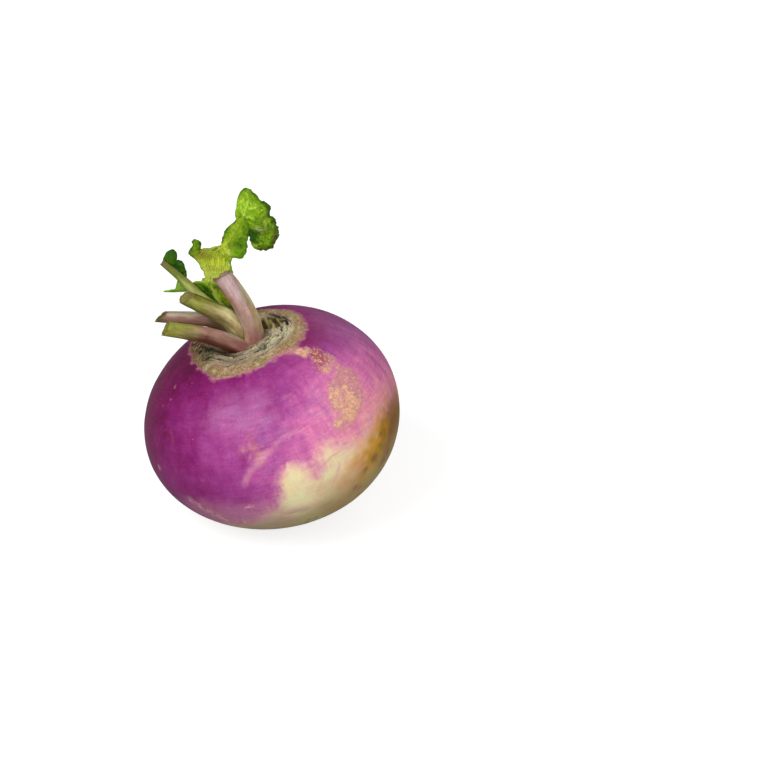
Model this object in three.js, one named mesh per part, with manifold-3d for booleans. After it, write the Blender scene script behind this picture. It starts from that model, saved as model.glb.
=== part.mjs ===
// A purple-top turnip, pulled and trimmed: a flattened round root with a corky crown, four cut leaf stalks,
// the stump of an older stalk, a small side leaf and a crumpled young leaf. It leans on a small worn flat.
// Millimetres, +Z up. The origin is the centre of that flat, and -Y is the side that shows the stalks best.
import * as THREE from "three";
import { LoftGeometry } from "three/addons/geometries/LoftGeometry.js";
import { mergeVertices } from "three/addons/utils/BufferGeometryUtils.js";
import Module from "manifold-3d";

const wasm = await Module();
wasm.setup();

const { PI, sin, cos, exp, hypot } = Math;
const degrees = THREE.MathUtils.degToRad;
const { lerp } = THREE.MathUtils;
const point = (x, y, z) => new THREE.Vector3(x, y, z);

// ---- Driving dimensions ----

const EQUATOR_RADIUS = 48;
const HALF_HEIGHT = 39.2; // of the ellipsoid that the root follows below its crown
const LEAN = degrees(15.8); // of the root's axis from vertical
const LEAN_HEADING = degrees(173.7); // the way it leans, turned from +X towards +Y
const TAIL_SWAY = 3.4; // how far the tail end wanders off the axis, towards +X
const ROOT_MIDDLE = [3, -0.6, 38.3]; // from the centre of the worn flat

const CROWN_HEIGHT = 34.5; // from the root's middle to the crown's middle, along the axis
const CROWN_PLATEAU = 33.6; // where the crown cuts the ellipsoid off
const CROWN_BLEND = 1.6; // softens the edge of that cut
const COLLAR = { radius: 18.5, width: 3.2, rise: 0.8 }; // the corky ring
const BOSS = { width: 8, rise: 1.0 }; // the swelling that the stalks grow from
const TAIL_DIMPLE = { width: 4.5, depth: 1.6 };
const TAIL_NUB = { width: 1.8, height: 1.5 };
const LOBES = [
  { count: 2, share: 0.006, turn: 0.9 },
  { count: 3, share: 0.004, turn: 2.3 },
];

const GAP = 0.3; // between neighbouring pieces
const LEAF_THICKNESS = 0.9;
const SLANT_ONSET = 6; // a stalk's sections turn to its slanted cut end by this power of the way along
const CHANNEL_SPREAD = 0.5; // of a stalk's channel, as a share of its half width
const LEAF_LEAN = degrees(15); // the leaves' plane leans this far back from upright
const LEAF_SETBACK = 6.9; // and passes this far behind the crown's centre

// ---- Fineness of the faceted solids ----

const ROOT_SEGMENTS = 56;
const ROOT_ROWS = 36;
const ROW_CROWDING = 0.25; // how much the rows crowd towards both ends of the axis
const STALK_SIDES = 14;
const STALK_STEPS = 10;
const STRIP_STEPS = 26;
const STRIP_COLUMNS = 8;
const LOBE_POINTS = 30;
const LOBE_RINGS = [0.25, 0.6, 1]; // shares of the way from a lobe's centre to its rim

// ---- Solids ----

// A closed geometry as a manifold-3d solid, from its positions alone.
function solidOf(geometry) {
  const bare = new THREE.BufferGeometry()
    .setAttribute("position", geometry.attributes.position)
    .setIndex(geometry.index);
  const merged = mergeVertices(bare, 1e-4);
  return new wasm.Manifold(
    new wasm.Mesh({
      numProp: 3,
      vertProperties: new Float32Array(merged.attributes.position.array),
      triVerts: new Uint32Array(merged.index.array),
    }),
  );
}

function geometryOf(solid) {
  const mesh = solid.getMesh();
  return new THREE.BufferGeometry()
    .setAttribute("position", new THREE.BufferAttribute(mesh.vertProperties, 3))
    .setIndex(new THREE.BufferAttribute(mesh.triVerts, 1));
}

// What is left of a solid once the others are taken out of it, without any crumbs.
function cutBack(solid, others) {
  const left = others.reduce((rest, other) => rest.subtract(other), solid);
  return left.decompose().reduce((a, b) => (a.volume() > b.volume() ? a : b));
}

// A loft whose first and last sections close to their middles, which suits sections that are thin or bent.
function closedLoft(sections) {
  const closing = (section) => {
    const middle = section.reduce((sum, p) => sum.add(p), point(0, 0, 0)).divideScalar(section.length);
    return section.map(() => middle);
  };
  return new LoftGeometry([closing(sections[0]), ...sections, closing(sections.at(-1))]);
}

const bump = (distance, width) => exp(-((distance / width) ** 2));

// ---- Root ----

const axis = point(
  sin(LEAN) * cos(LEAN_HEADING),
  sin(LEAN) * sin(LEAN_HEADING),
  cos(LEAN),
);
const rootMiddle = point(...ROOT_MIDDLE);
const crownCentre = rootMiddle.clone().addScaledVector(axis, CROWN_HEIGHT);

// Radius and height on the root's own axis, for an angle that runs from 0 at the crown to pi at the tail.
function rootProfile(angle, swell) {
  const radius = (EQUATOR_RADIUS + swell) * sin(angle);
  let height = (HALF_HEIGHT + swell) * cos(angle);
  if (angle < PI / 2) {
    const plateau = CROWN_PLATEAU + swell;
    height = (height + plateau - hypot(height - plateau, CROWN_BLEND)) / 2;
    height += COLLAR.rise * bump(radius - COLLAR.radius, COLLAR.width);
    height += BOSS.rise * bump(radius, BOSS.width);
  } else {
    height += TAIL_DIMPLE.depth * bump(radius, TAIL_DIMPLE.width);
    height -= TAIL_NUB.height * bump(radius, TAIL_NUB.width);
  }
  return new THREE.Vector2(Math.max(radius, 0), height);
}

// The whole root in the part's frame, swollen by so many millimetres, before its flat is worn.
function rootGeometry(swell = 0) {
  const profile = Array.from({ length: ROOT_ROWS + 1 }, (_, i) => {
    const share = 1 - i / ROOT_ROWS;
    const angle = PI * share - ROW_CROWDING * sin(2 * PI * share);
    return rootProfile(angle, swell);
  });
  profile[0].x = profile[ROOT_ROWS].x = 0;
  const geometry = new THREE.LatheGeometry(profile, ROOT_SEGMENTS).rotateX(PI / 2);
  const at = geometry.attributes.position;
  for (let i = 0; i < at.count; i++) {
    const [x, y] = [at.getX(i), at.getY(i)];
    const turn = Math.atan2(y, x);
    const fullness = hypot(x, y) / EQUATOR_RADIUS;
    const scale = LOBES.reduce(
      (sum, lobe) => sum + lobe.share * fullness * cos(lobe.count * turn + lobe.turn),
      1,
    );
    const sway = TAIL_SWAY * (Math.min(at.getZ(i), 0) / HALF_HEIGHT) ** 2;
    at.setXY(i, x * scale + sway, y * scale);
  }
  const upright = new THREE.Quaternion().setFromUnitVectors(point(0, 0, 1), axis);
  return geometry
    .applyQuaternion(upright)
    .translate(rootMiddle.x, rootMiddle.y, rootMiddle.z);
}

function rootSolid() {
  const side = 4 * EQUATOR_RADIUS;
  const belowFlat = new THREE.BoxGeometry(side, side, side).translate(0, 0, -side / 2);
  return solidOf(rootGeometry()).subtract(solidOf(belowFlat));
}

// ---- Stalks ----

// A channelled stalk along a curve through the path's points. Width and depth go from base to tip, faces is
// the way that its channel looks, and slant shears the cut end. Swell makes it larger all round.
function stalkGeometry({ path, width, depth, faces, channel = 0, slant = 0 }, swell = 0) {
  const curve = new THREE.CatmullRomCurve3(path.map((p) => point(...p)));
  const sections = Array.from({ length: STALK_STEPS + 1 }, (_, i) => {
    const share = i / STALK_STEPS;
    const along = curve.getTangentAt(share);
    const up = point(...faces).addScaledVector(along, -along.dot(point(...faces))).normalize();
    const side = up.clone().cross(along);
    const centre = curve.getPointAt(share).addScaledVector(along, share === 1 ? swell : 0);
    const halfWidth = lerp(width[0], width[1], share) / 2 + swell;
    const halfDepth = lerp(depth[0], depth[1], share) / 2 + swell;
    return Array.from({ length: STALK_SIDES }, (_, j) => {
      const turn = (2 * PI * j) / STALK_SIDES;
      const [across, over] = [cos(turn), sin(turn)];
      const hollow = over > 0 ? channel * halfDepth * bump(across, CHANNEL_SPREAD) : 0;
      return centre
        .clone()
        .addScaledVector(side, across * halfWidth)
        .addScaledVector(up, over * halfDepth - hollow)
        .addScaledVector(along, slant * over * halfDepth * share ** SLANT_ONSET);
    });
  });
  return new LoftGeometry(sections, { capStart: true, capEnd: true });
}

// Paths are in millimetres from the crown's centre, and each starts below the crown's surface.
const STALKS = {
  stalk_upright: {
    path: [[4.4, -1.6, -2.5], [3.3, -1.3, 6.2], [-0.2, -0.1, 14.8], [-4.3, 1.5, 20.9], [-8, 3.2, 24.8]],
    width: [8.6, 6.8],
    depth: [7, 7.5],
    faces: [-0.9, 0.2, 0.4],
    channel: 0.25,
  },
  stalk_front: {
    path: [[1.2, -4.2, -3.2], [-5.1, -6.4, 3.1], [-13, -8.2, 6.7], [-26.6, -9.8, 10]],
    width: [7.6, 5.8],
    depth: [7.8, 5.9],
    faces: [0.1, 0.5, 0.9],
    channel: 0.2,
    slant: -0.3,
  },
  stalk_middle: {
    path: [[1.2, 1.4, -3], [-4.1, -0.5, 7.5], [-10.5, -2.1, 12.9], [-19.7, -3, 18.5]],
    width: [8.6, 5.4],
    depth: [8, 4.8],
    faces: [0.5, -0.3, 0.8],
    channel: 0.1,
    slant: -0.5,
  },
  stalk_rear: {
    path: [[-1.5, 4.6, -3], [-8, 4.9, 3.4], [-15.9, 4.7, 5.6], [-30, 4.1, 6.8]],
    width: [6.4, 5],
    depth: [6.2, 4.4],
    faces: [0.2, 0.2, 0.9],
    channel: 0.3,
    slant: -1,
  },
  stalk_stump: {
    path: [[9.6, 4.4, -1], [9.8, 4.8, 3.6], [9, 5.2, 6.8]],
    width: [9.4, 8],
    depth: [4.4, 3.2],
    faces: [-0.8, -0.5, 0.2],
    channel: 0.55,
    slant: 0.6,
  },
  side_leaf_stalk: {
    path: [[-2.2, 8.2, -2.5], [-8.1, 7.7, 5.6], [-14.4, 8.1, 11.3], [-21.7, 10.1, 18.4], [-29.1, 11.7, 24.8]],
    width: [5.6, 2.3],
    depth: [5.2, 1.9],
    faces: [0.5, -0.6, 0.6],
    channel: 0.2,
  },
  young_leaf_stalk: {
    path: [[1.6, 9, -2.5], [-4.8, 8.8, 5], [-8.8, 9.3, 9.6], [-12, 11.2, 16.6]],
    width: [4.6, 1.6],
    depth: [3.2, 1.5],
    faces: [0, -0.9, 0.3],
    channel: 0.25,
  },
};

// ---- Leaf blades ----

// Points of the blades are [right, up, forward] in the leaves' own plane, behind the crown's centre.
const leafSide = point(1, 0, 0);
const leafRise = point(0, sin(LEAF_LEAN), cos(LEAF_LEAN));
const leafFace = point(0, -cos(LEAF_LEAN), sin(LEAF_LEAN));

const inLeafPlane = ([right, up, forward = 0]) =>
  point(0, LEAF_SETBACK, 0)
    .addScaledVector(leafSide, right)
    .addScaledVector(leafRise, up)
    .addScaledVector(leafFace, forward);

// A sheet that runs along a midrib. Each row is its left edge, its midrib and its right edge.
function stripGeometry(rows, swell = 0) {
  const tracks = [0, 1, 2].map(
    (k) => new THREE.CatmullRomCurve3(rows.map((row) => point(...row[k])), false, "centripetal"),
  );
  const half = LEAF_THICKNESS / 2 + swell;
  const sections = Array.from({ length: STRIP_STEPS + 1 }, (_, i) => {
    const [left, rib, right] = tracks.map((track) => track.getPoint(i / STRIP_STEPS));
    const across = new THREE.CatmullRomCurve3([left, rib, right]).getPoints(STRIP_COLUMNS);
    across[0].x -= swell;
    across[STRIP_COLUMNS].x += swell;
    const back = across.map((p) => inLeafPlane([p.x, p.y, p.z - half]));
    const front = across.map((p) => inLeafPlane([p.x, p.y, p.z + half]));
    return [...front, ...back.reverse()];
  });
  return closedLoft(sections);
}

// A sheet inside an outline that runs clockwise around its centre. Cup bends the rim forward by that many
// millimetres for each millimetre of distance squared.
function lobeGeometry({ centre, outline, cup = 0 }, swell = 0) {
  const rim = new THREE.CatmullRomCurve3(
    outline.map(([right, up, forward = 0]) => point(right, up, forward)),
    true,
    "centripetal",
  ).getSpacedPoints(LOBE_POINTS);
  rim.pop(); // it repeats the first point
  const middle = point(...centre, 0);
  const half = LEAF_THICKNESS / 2 + swell;
  const ring = (share, offset) =>
    rim.map((edge) => {
      const spoke = edge.clone().sub(middle);
      const flat = middle.clone().addScaledVector(spoke, share + (share * swell) / spoke.length());
      const bend = cup * spoke.lengthSq() * share ** 2;
      return inLeafPlane([flat.x, flat.y, flat.z + bend + offset]);
    });
  return closedLoft([
    ...LOBE_RINGS.map((share) => ring(share, half)),
    ...LOBE_RINGS.toReversed().map((share) => ring(share, -half)),
  ]);
}

const YOUNG_LEAF_ROWS = [
  [[-9.2, 7.6, -0.6], [-7, 8, 0], [-1.4, 6.6, -0.4]], // the wings beside the stalk
  [[-14, 12, -0.8], [-9.4, 10.8, 0], [-1.8, 9.4, -0.4]],
  [[-18.3, 15, -0.6], [-11.3, 14.6, 0], [-3.8, 12.8, -0.4]],
  [[-18.9, 17.1, -0.6], [-12.3, 16.6, 0], [-4.4, 15.2, -0.6]],
  [[-14.2, 18.6, 0], [-12.2, 18.4, 0], [-4.1, 17.4, -0.6]], // the foot of the pleated fan
  [[-14.4, 20.6, 0.2], [-11.8, 21, 0], [-4, 20, -0.6]],
  [[-15.9, 23.8, 0.3], [-11.2, 23.8, 0], [-4.3, 23, -0.4]],
  [[-19.5, 28.1, 0.8], [-9.8, 27.2, 0.3], [-4, 25.9, 0.2]], // its widest
  [[-18, 29.5, 0.7], [-9, 28.4, 0.4], [-3.4, 26.4, 0.4]],
  [[-11.2, 29.6, 0.1], [-7.2, 30.2, 0.3], [-1.1, 26.5, 0.8]],
  [[-8, 30.2, 0.1], [-6, 31.2, 0.3], [0.2, 27.1, 0.8]], // the middle lobe
  [[-7, 32.5, 0.2], [-4.4, 32.9, 0.2], [1.4, 29, 0.4]],
  [[-6.2, 34.8, 0.2], [-3.2, 34.9, 0], [1.8, 32.2, -0.4]],
  [[-4.2, 37.4, 0.2], [-1.6, 37.3, 0], [2.3, 35.2, -0.8]],
  [[-2.2, 39.5, 0.2], [-0.4, 39.5, 0], [3.2, 38.2, -0.4]],
  [[-1.6, 42.2, 0.2], [0.2, 42.4, 0], [2.6, 41.8, -0.2]], // into the end lobe
];

const YOUNG_LEAF_EAR = {
  centre: [-17, 29.6],
  outline: [
    [-20, 28.2], [-19.4, 30.6], [-18.5, 32.2], [-16.9, 33.6], [-15, 32.4], [-14.6, 30], [-14.8, 28],
    [-17.4, 27],
  ],
  cup: 0.02,
};

const YOUNG_LEAF_END = {
  centre: [6.6, 41.6],
  outline: [
    [-2.4, 40.4], [-2.6, 43], [-1.8, 47.2], [-1.5, 50.4], [0.8, 53], [2.2, 52.8], [5, 50.4], [7.4, 47.4],
    [9.6, 46.2, 0.4], [11, 43, 0.8], [12.2, 40, 1.4], [13.6, 36.6, 2.4], [12, 33, 2.8], [10, 29.8, 3],
    [6.4, 29.6, 3.2], [3.6, 31, 3], [3, 34, 2.2], [3, 37, 1.2], [1, 39.4, 0.2],
  ],
};

const SIDE_LEAF_TOP = {
  centre: [-26.4, 26.4],
  outline: [
    [-29, 25.4], [-28.4, 27.4], [-27.2, 29], [-25.6, 29.6], [-24, 28.4], [-24.4, 26.4], [-25.2, 24.4],
    [-27, 24],
  ],
  cup: 0.04,
};

const SIDE_LEAF_SECOND = {
  centre: [-23, 23.4],
  outline: [
    [-25.2, 24.4], [-23.6, 26], [-22, 25.2], [-21, 22.6], [-20.8, 19.4], [-22.4, 20.4], [-24.6, 22.4],
  ],
  cup: 0.04,
};

const SIDE_LEAF_FLAP = {
  centre: [-23.2, 15.4],
  outline: [
    [-24, 18], [-21.4, 17], [-19.4, 15], [-20.8, 14.2], [-25.4, 13.9], [-29.2, 13.8], [-29.2, 14.3],
    [-25.4, 14.8], [-24.6, 16.4],
  ],
  cup: 0.03,
};

const joined = (geometries) => geometries.map(solidOf).reduce((a, b) => a.add(b));

const BLADES = {
  young_leaf_blade: (swell) =>
    joined([
      stripGeometry(YOUNG_LEAF_ROWS, swell),
      lobeGeometry(YOUNG_LEAF_EAR, swell),
      lobeGeometry(YOUNG_LEAF_END, swell),
    ]),
  side_leaf_upper_blade: (swell) =>
    joined([lobeGeometry(SIDE_LEAF_TOP, swell), lobeGeometry(SIDE_LEAF_SECOND, swell)]),
  side_leaf_lower_blade: (swell) => joined([lobeGeometry(SIDE_LEAF_FLAP, swell)]),
};

// ---- Assembly ----

const rootSkin = new THREE.MeshStandardMaterial({ color: 0x9b3d93, roughness: 0.42, metalness: 0 });
const stalkSkin = new THREE.MeshStandardMaterial({ color: 0xa98a78, roughness: 0.5, metalness: 0 });
const driedStalk = new THREE.MeshStandardMaterial({ color: 0x8a7446, roughness: 0.8, metalness: 0 });
const leafGreen = new THREE.MeshStandardMaterial({ color: 0x6fa52a, roughness: 0.55, metalness: 0 });

const turnip = new THREE.Group();
const greens = new THREE.Group(); // everything that grows from the crown
greens.position.copy(crownCentre);
turnip.add(greens);

function addPiece(group, name, solid, material) {
  const mesh = new THREE.Mesh(geometryOf(solid), material);
  mesh.name = name;
  group.add(mesh);
}

addPiece(turnip, "root", rootSolid(), rootSkin);

// Each piece is cut back from those before it, so that it meets them with the gap.
const before = [solidOf(rootGeometry(GAP)).translate(crownCentre.clone().negate().toArray())];

for (const [name, stalk] of Object.entries(STALKS)) {
  const material = name === "stalk_stump" ? driedStalk : stalkSkin;
  addPiece(greens, name, cutBack(solidOf(stalkGeometry(stalk)), before), material);
  before.push(solidOf(stalkGeometry(stalk, GAP)));
}

for (const [name, blade] of Object.entries(BLADES)) {
  addPiece(greens, name, cutBack(blade(0), before), leafGreen);
  before.push(blade(GAP));
}

export default turnip;
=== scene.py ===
"""The finish of a purple-top turnip: waxy two-tone skin with a corky crown, fibrous cut leaf stalks and
thin young leaves.

Lengths are millimetres until a mesh is made. The root is worked out about its own axis, and everything that
grows from it about the centre of its crown.
"""

from itertools import product

import bpy
import numpy as np
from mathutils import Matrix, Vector


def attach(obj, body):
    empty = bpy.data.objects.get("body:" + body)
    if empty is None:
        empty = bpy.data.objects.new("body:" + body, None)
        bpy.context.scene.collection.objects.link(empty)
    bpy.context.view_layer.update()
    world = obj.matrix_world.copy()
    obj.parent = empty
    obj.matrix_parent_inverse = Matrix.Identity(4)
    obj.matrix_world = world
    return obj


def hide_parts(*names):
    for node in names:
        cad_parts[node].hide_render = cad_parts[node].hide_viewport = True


MM = 0.001

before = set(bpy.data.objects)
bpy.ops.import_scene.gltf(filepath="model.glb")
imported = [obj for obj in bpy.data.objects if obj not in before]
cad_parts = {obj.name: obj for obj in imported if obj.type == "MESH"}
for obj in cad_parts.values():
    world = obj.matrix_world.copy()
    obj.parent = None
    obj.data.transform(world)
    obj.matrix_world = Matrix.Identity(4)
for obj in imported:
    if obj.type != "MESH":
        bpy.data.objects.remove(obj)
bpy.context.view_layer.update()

# ---- Sizes, the same as the solids' ----

EQUATOR_RADIUS = 48
HALF_HEIGHT = 39.2
LEAN = np.radians(15.8)
LEAN_HEADING = np.radians(173.7)
TAIL_SWAY = 3.4
ROOT_MIDDLE = np.array([3, -0.6, 38.3])

CROWN_HEIGHT = 34.5
CROWN_PLATEAU = 33.6
CROWN_BLEND = 1.6
COLLAR_RADIUS, COLLAR_WIDTH, COLLAR_RISE = 18.5, 3.2, 0.8
BOSS_WIDTH, BOSS_RISE = 8, 1.0
DIMPLE_WIDTH, DIMPLE_DEPTH = 4.5, 1.6
NUB_WIDTH, NUB_HEIGHT = 1.8, 1.5
LOBES = [(2, 0.006, 0.9), (3, 0.004, 2.3)]  # how many round the root, share of its radius, turn

LEAF_LEAN = np.radians(15)
LEAF_SETBACK = 6.9


# ---- Fields ----


def rgb(*colour):
    """A colour as an array, so that it can be scaled and mixed."""
    return np.array(colour)


def stacked(*parts):
    """Values side by side as the coordinates of points, each spread out to the shape that fits all."""
    return np.stack(np.broadcast_arrays(*parts), -1)


def cylinder(radius, turn, height):
    """Points at a radius from the Z axis, a turn about it in radians, and a height along it."""
    return stacked(radius * np.cos(turn), radius * np.sin(turn), height)


def off_axis(points, x=0):
    """Distance from the upright line through (x, 0)."""
    return np.hypot(points[..., 0] - x, points[..., 1])


def smooth(low, high, x):
    """0 below low, 1 above high, and an S-curve between. With low above high it runs the other way."""
    t = np.clip((x - low) / (high - low), 0, 1)
    return t * t * (3 - 2 * t)


def span(x, start, low, high, stop):
    """1 from low to high, falling to 0 at start and at stop by S-curves."""
    return smooth(start, low, x) * smooth(stop, high, x)


def bump(distance, width):
    """A bell that is 1 at no distance and falls to 1/e at the width."""
    return np.exp(-((distance / width) ** 2))


def hashed(cells, seed):
    """A number from 0 to 1 for each whole-numbered cell, scrambled from its three indices."""
    x, y, z = np.moveaxis(cells.astype(np.int64).astype(np.uint32), -1, 0)
    bits = x * np.uint32(0x8DA6B343) + y * np.uint32(0xD8163841) + z * np.uint32(0xCB1AB31F)
    bits = bits + np.uint32(seed * 7919)
    for shift, factor in ((15, 0x2C1B3C6D), (12, 0x297A2D39), (15, 0x85EBCA6B)):
        bits = (bits ^ (bits >> np.uint32(shift))) * np.uint32(factor)
    return (bits ^ (bits >> np.uint32(16))) / 2.0**32


def noise(points, size, seed):
    """From -1 to 1, with bumps about size across: hashed values on a cubic lattice, blended by S-curves."""
    scaled = np.asarray(points, float) / size
    cell = np.floor(scaled)
    share = scaled - cell
    share = share * share * (3 - 2 * share)
    total = 0
    for corner in product((0, 1), repeat=3):
        weight = np.prod(np.where(np.array(corner, bool), share, 1 - share), axis=-1)
        total = total + weight * hashed(cell + corner, seed)
    return total * 2 - 1


def fractal(points, size, seed):
    """Noise on noise: each octave is half as large and a little over half as strong as the one before."""
    strengths = [0.55**k for k in range(3)]
    layers = [strength * noise(points, size / 2**k, seed + 31 * k) for k, strength in enumerate(strengths)]
    return sum(layers) / sum(strengths)


def wander(points, size, seed, axes=3):
    """A shift along each axis, by noise with a seed of its own."""
    return np.stack([noise(points, size, seed + k) for k in range(axes)], -1)


def blend(share, first, second):
    """From the first number to the second by a share."""
    return (1 - share) * first + share * second


def mixed(share, first, second):
    """From the first colour to the second by a share. All three may differ from point to point."""
    return first + share[..., None] * (second - first)


def ramp(stops, share):
    """A colour from evenly spaced stops, at a share of the way along them."""
    stops = np.asarray(stops, float)
    at = np.linspace(0, 1, len(stops))
    return np.stack([np.interp(share, at, stops[:, k]) for k in range(3)], -1)


def spline(knots, count):
    """A smooth curve through the knots (k, ...), as count points. The knots stand apart by the square
    roots of the chords between them, and the points at equal steps of that. Each stretch is a cubic whose
    slopes come from the knots on either side."""
    knots = np.asarray(knots, float)
    flat = knots.reshape(len(knots), -1)
    chord = np.linalg.norm(np.diff(flat, axis=0), axis=1) ** 0.5
    at = np.concatenate([[0], np.cumsum(np.maximum(chord, 1e-6))])
    padded = np.concatenate([[2 * flat[0] - flat[1]], flat, [2 * flat[-1] - flat[-2]]])
    places = np.concatenate([[at[0] - chord[0]], at, [at[-1] + chord[-1]]])
    slopes = (padded[2:] - padded[:-2]) / (places[2:] - places[:-2])[:, None]
    where = np.linspace(0, at[-1], count)
    k = np.clip(np.searchsorted(at, where, side="right") - 1, 0, len(at) - 2)
    width = (at[k + 1] - at[k])[:, None]
    t = (where - at[k])[:, None] / width
    made = (
        (2 * t**3 - 3 * t**2 + 1) * flat[k]
        + (t**3 - 2 * t**2 + t) * width * slopes[k]
        + (-2 * t**3 + 3 * t**2) * flat[k + 1]
        + (t**3 - t**2) * width * slopes[k + 1]
    )
    return made.reshape((count,) + knots.shape[1:])


def along_track(spots, track):
    """How far each spot is from a track of straight chords, and the share of the way along it where it is
    nearest. Every chord counts as equally long."""
    gap, share = np.full(spots.shape[:-1], 1e9), np.zeros(spots.shape[:-1])
    for k, (a, b) in enumerate(zip(track[:-1], track[1:])):
        part = np.clip(np.sum((spots - a) * (b - a), axis=-1) / np.sum((b - a) ** 2), 0, 1)
        here = np.linalg.norm(spots - a - part[..., None] * (b - a), axis=-1)
        share = np.where(here < gap, (k + part) / (len(track) - 1), share)
        gap = np.minimum(gap, here)
    return gap, share


def unit(vectors):
    """The same directions with a length of 1."""
    return vectors / np.maximum(np.linalg.norm(vectors, axis=-1, keepdims=True), 1e-9)


def short_turn(axis):
    """The rotation that takes +Z to the axis by the shortest way."""
    across = np.cross([0, 0, 1], axis)
    k = np.array([[0, -across[2], across[1]], [across[2], 0, -across[0]], [-across[1], across[0], 0]])
    return np.eye(3) + k + k @ k / (1 + axis[2])


AXIS = cylinder(np.sin(LEAN), LEAN_HEADING, np.cos(LEAN))
CROWN_CENTRE = ROOT_MIDDLE + CROWN_HEIGHT * AXIS
ROOT_TURN = short_turn(AXIS)


def leaned(points):
    """From the root's own axis to where the root leans on the ground."""
    return points @ ROOT_TURN.T + ROOT_MIDDLE


# ---- Pieces ----


def shown(name, data):
    """A new object in the scene round a mesh, a light or a camera."""
    made = bpy.data.objects.new(name, data)
    bpy.context.scene.collection.objects.link(made)
    return made


class Piece:
    """A mesh that is put together from closed surfaces, each with fields of its own on its points."""

    def __init__(self, name):
        """Starts with no surface."""
        self.name = name
        self.points, self.faces, self.fields, self.count = [], [], {}, 0

    def add(self, rings, **fields):
        """Rings (row, column, xyz) are closed loops. Quads join neighbours, and a fan shuts each end ring
        to its middle. A field has a value for each row and column. The faces are turned outwards by the
        sign of the volume."""
        rows, columns = rings.shape[:2]
        points = np.concatenate([rings.reshape(-1, 3), rings[[0, -1]].mean(axis=1)])
        here = np.arange(rows * columns).reshape(rows, columns)
        beside = np.roll(here, -1, axis=1)
        quads = np.stack([here[:-1], beside[:-1], beside[1:], here[1:]], -1).reshape(-1, 4)
        first = np.full(columns, rows * columns)
        start = np.stack([beside[0], here[0], first], -1)
        stop = np.stack([here[-1], beside[-1], first + 1], -1)
        triangles = np.concatenate([quads[:, :3], quads[:, [0, 2, 3]], start, stop])
        a, b, c = (points[triangles[:, k]] for k in range(3))
        order = 1 if np.sum(a * np.cross(b, c)) > 0 else -1
        for group in (quads, start, stop):
            self.faces += (group[:, ::order] + self.count).tolist()
        self.points.append(points)
        self.count += len(points)
        for name, values in fields.items():
            values = np.broadcast_to(np.asarray(values, float), (rows, columns) + np.shape(values)[2:])
            ends = values[[0, -1]].mean(axis=1)
            flat = values.reshape((-1,) + values.shape[2:])
            self.fields.setdefault(name, []).append(np.concatenate([flat, ends]))

    def add_shapes(self, points, faces, **fields):
        """Loose closed shapes: points (n, xyz) and rows of indices into them."""
        self.faces += (np.asarray(faces) + self.count).tolist()
        self.points.append(points)
        self.count += len(points)
        for name, values in fields.items():
            self.fields.setdefault(name, []).append(np.asarray(values, float))

    def build(self, material, slot, *nodes):
        """Makes the mesh in metres, with each field as an attribute of its points: a number, a colour for
        paint and flesh, or else a vector. It rides on the root and stands in for the nodes."""
        mesh = bpy.data.meshes.new(self.name)
        mesh.from_pydata((np.concatenate(self.points) * MM).tolist(), [], self.faces)
        for name, parts in self.fields.items():
            values = np.concatenate(parts)
            if values.ndim == 1:
                kind, key = "FLOAT", "value"
            elif name in ("paint", "flesh"):
                kind, key = "FLOAT_COLOR", "color"
                values = np.concatenate([np.clip(values, 0, 1), np.ones((len(values), 1))], axis=1)
            else:
                kind, key = "FLOAT_VECTOR", "vector"
            store = mesh.attributes.new(name, kind, "POINT")
            store.data.foreach_set(key, values.astype(np.float32).ravel())
        mesh.shade_smooth()
        mesh.materials.append(material)
        made = shown(self.name, mesh)
        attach(made, "root")
        if nodes:
            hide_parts(*nodes)
        return made


def outward(rings):
    """Normals of a grid of closed rings: the cross product of its steps along rows and along columns."""
    along = np.gradient(rings, axis=0)
    around = np.roll(rings, -1, axis=1) - np.roll(rings, 1, axis=1)
    normals = unit(np.cross(around, along))
    middle = rings.mean(axis=(0, 1))
    return normals * np.sign(np.sum(normals * (rings - middle)))


# ---- Finishes ----


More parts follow.
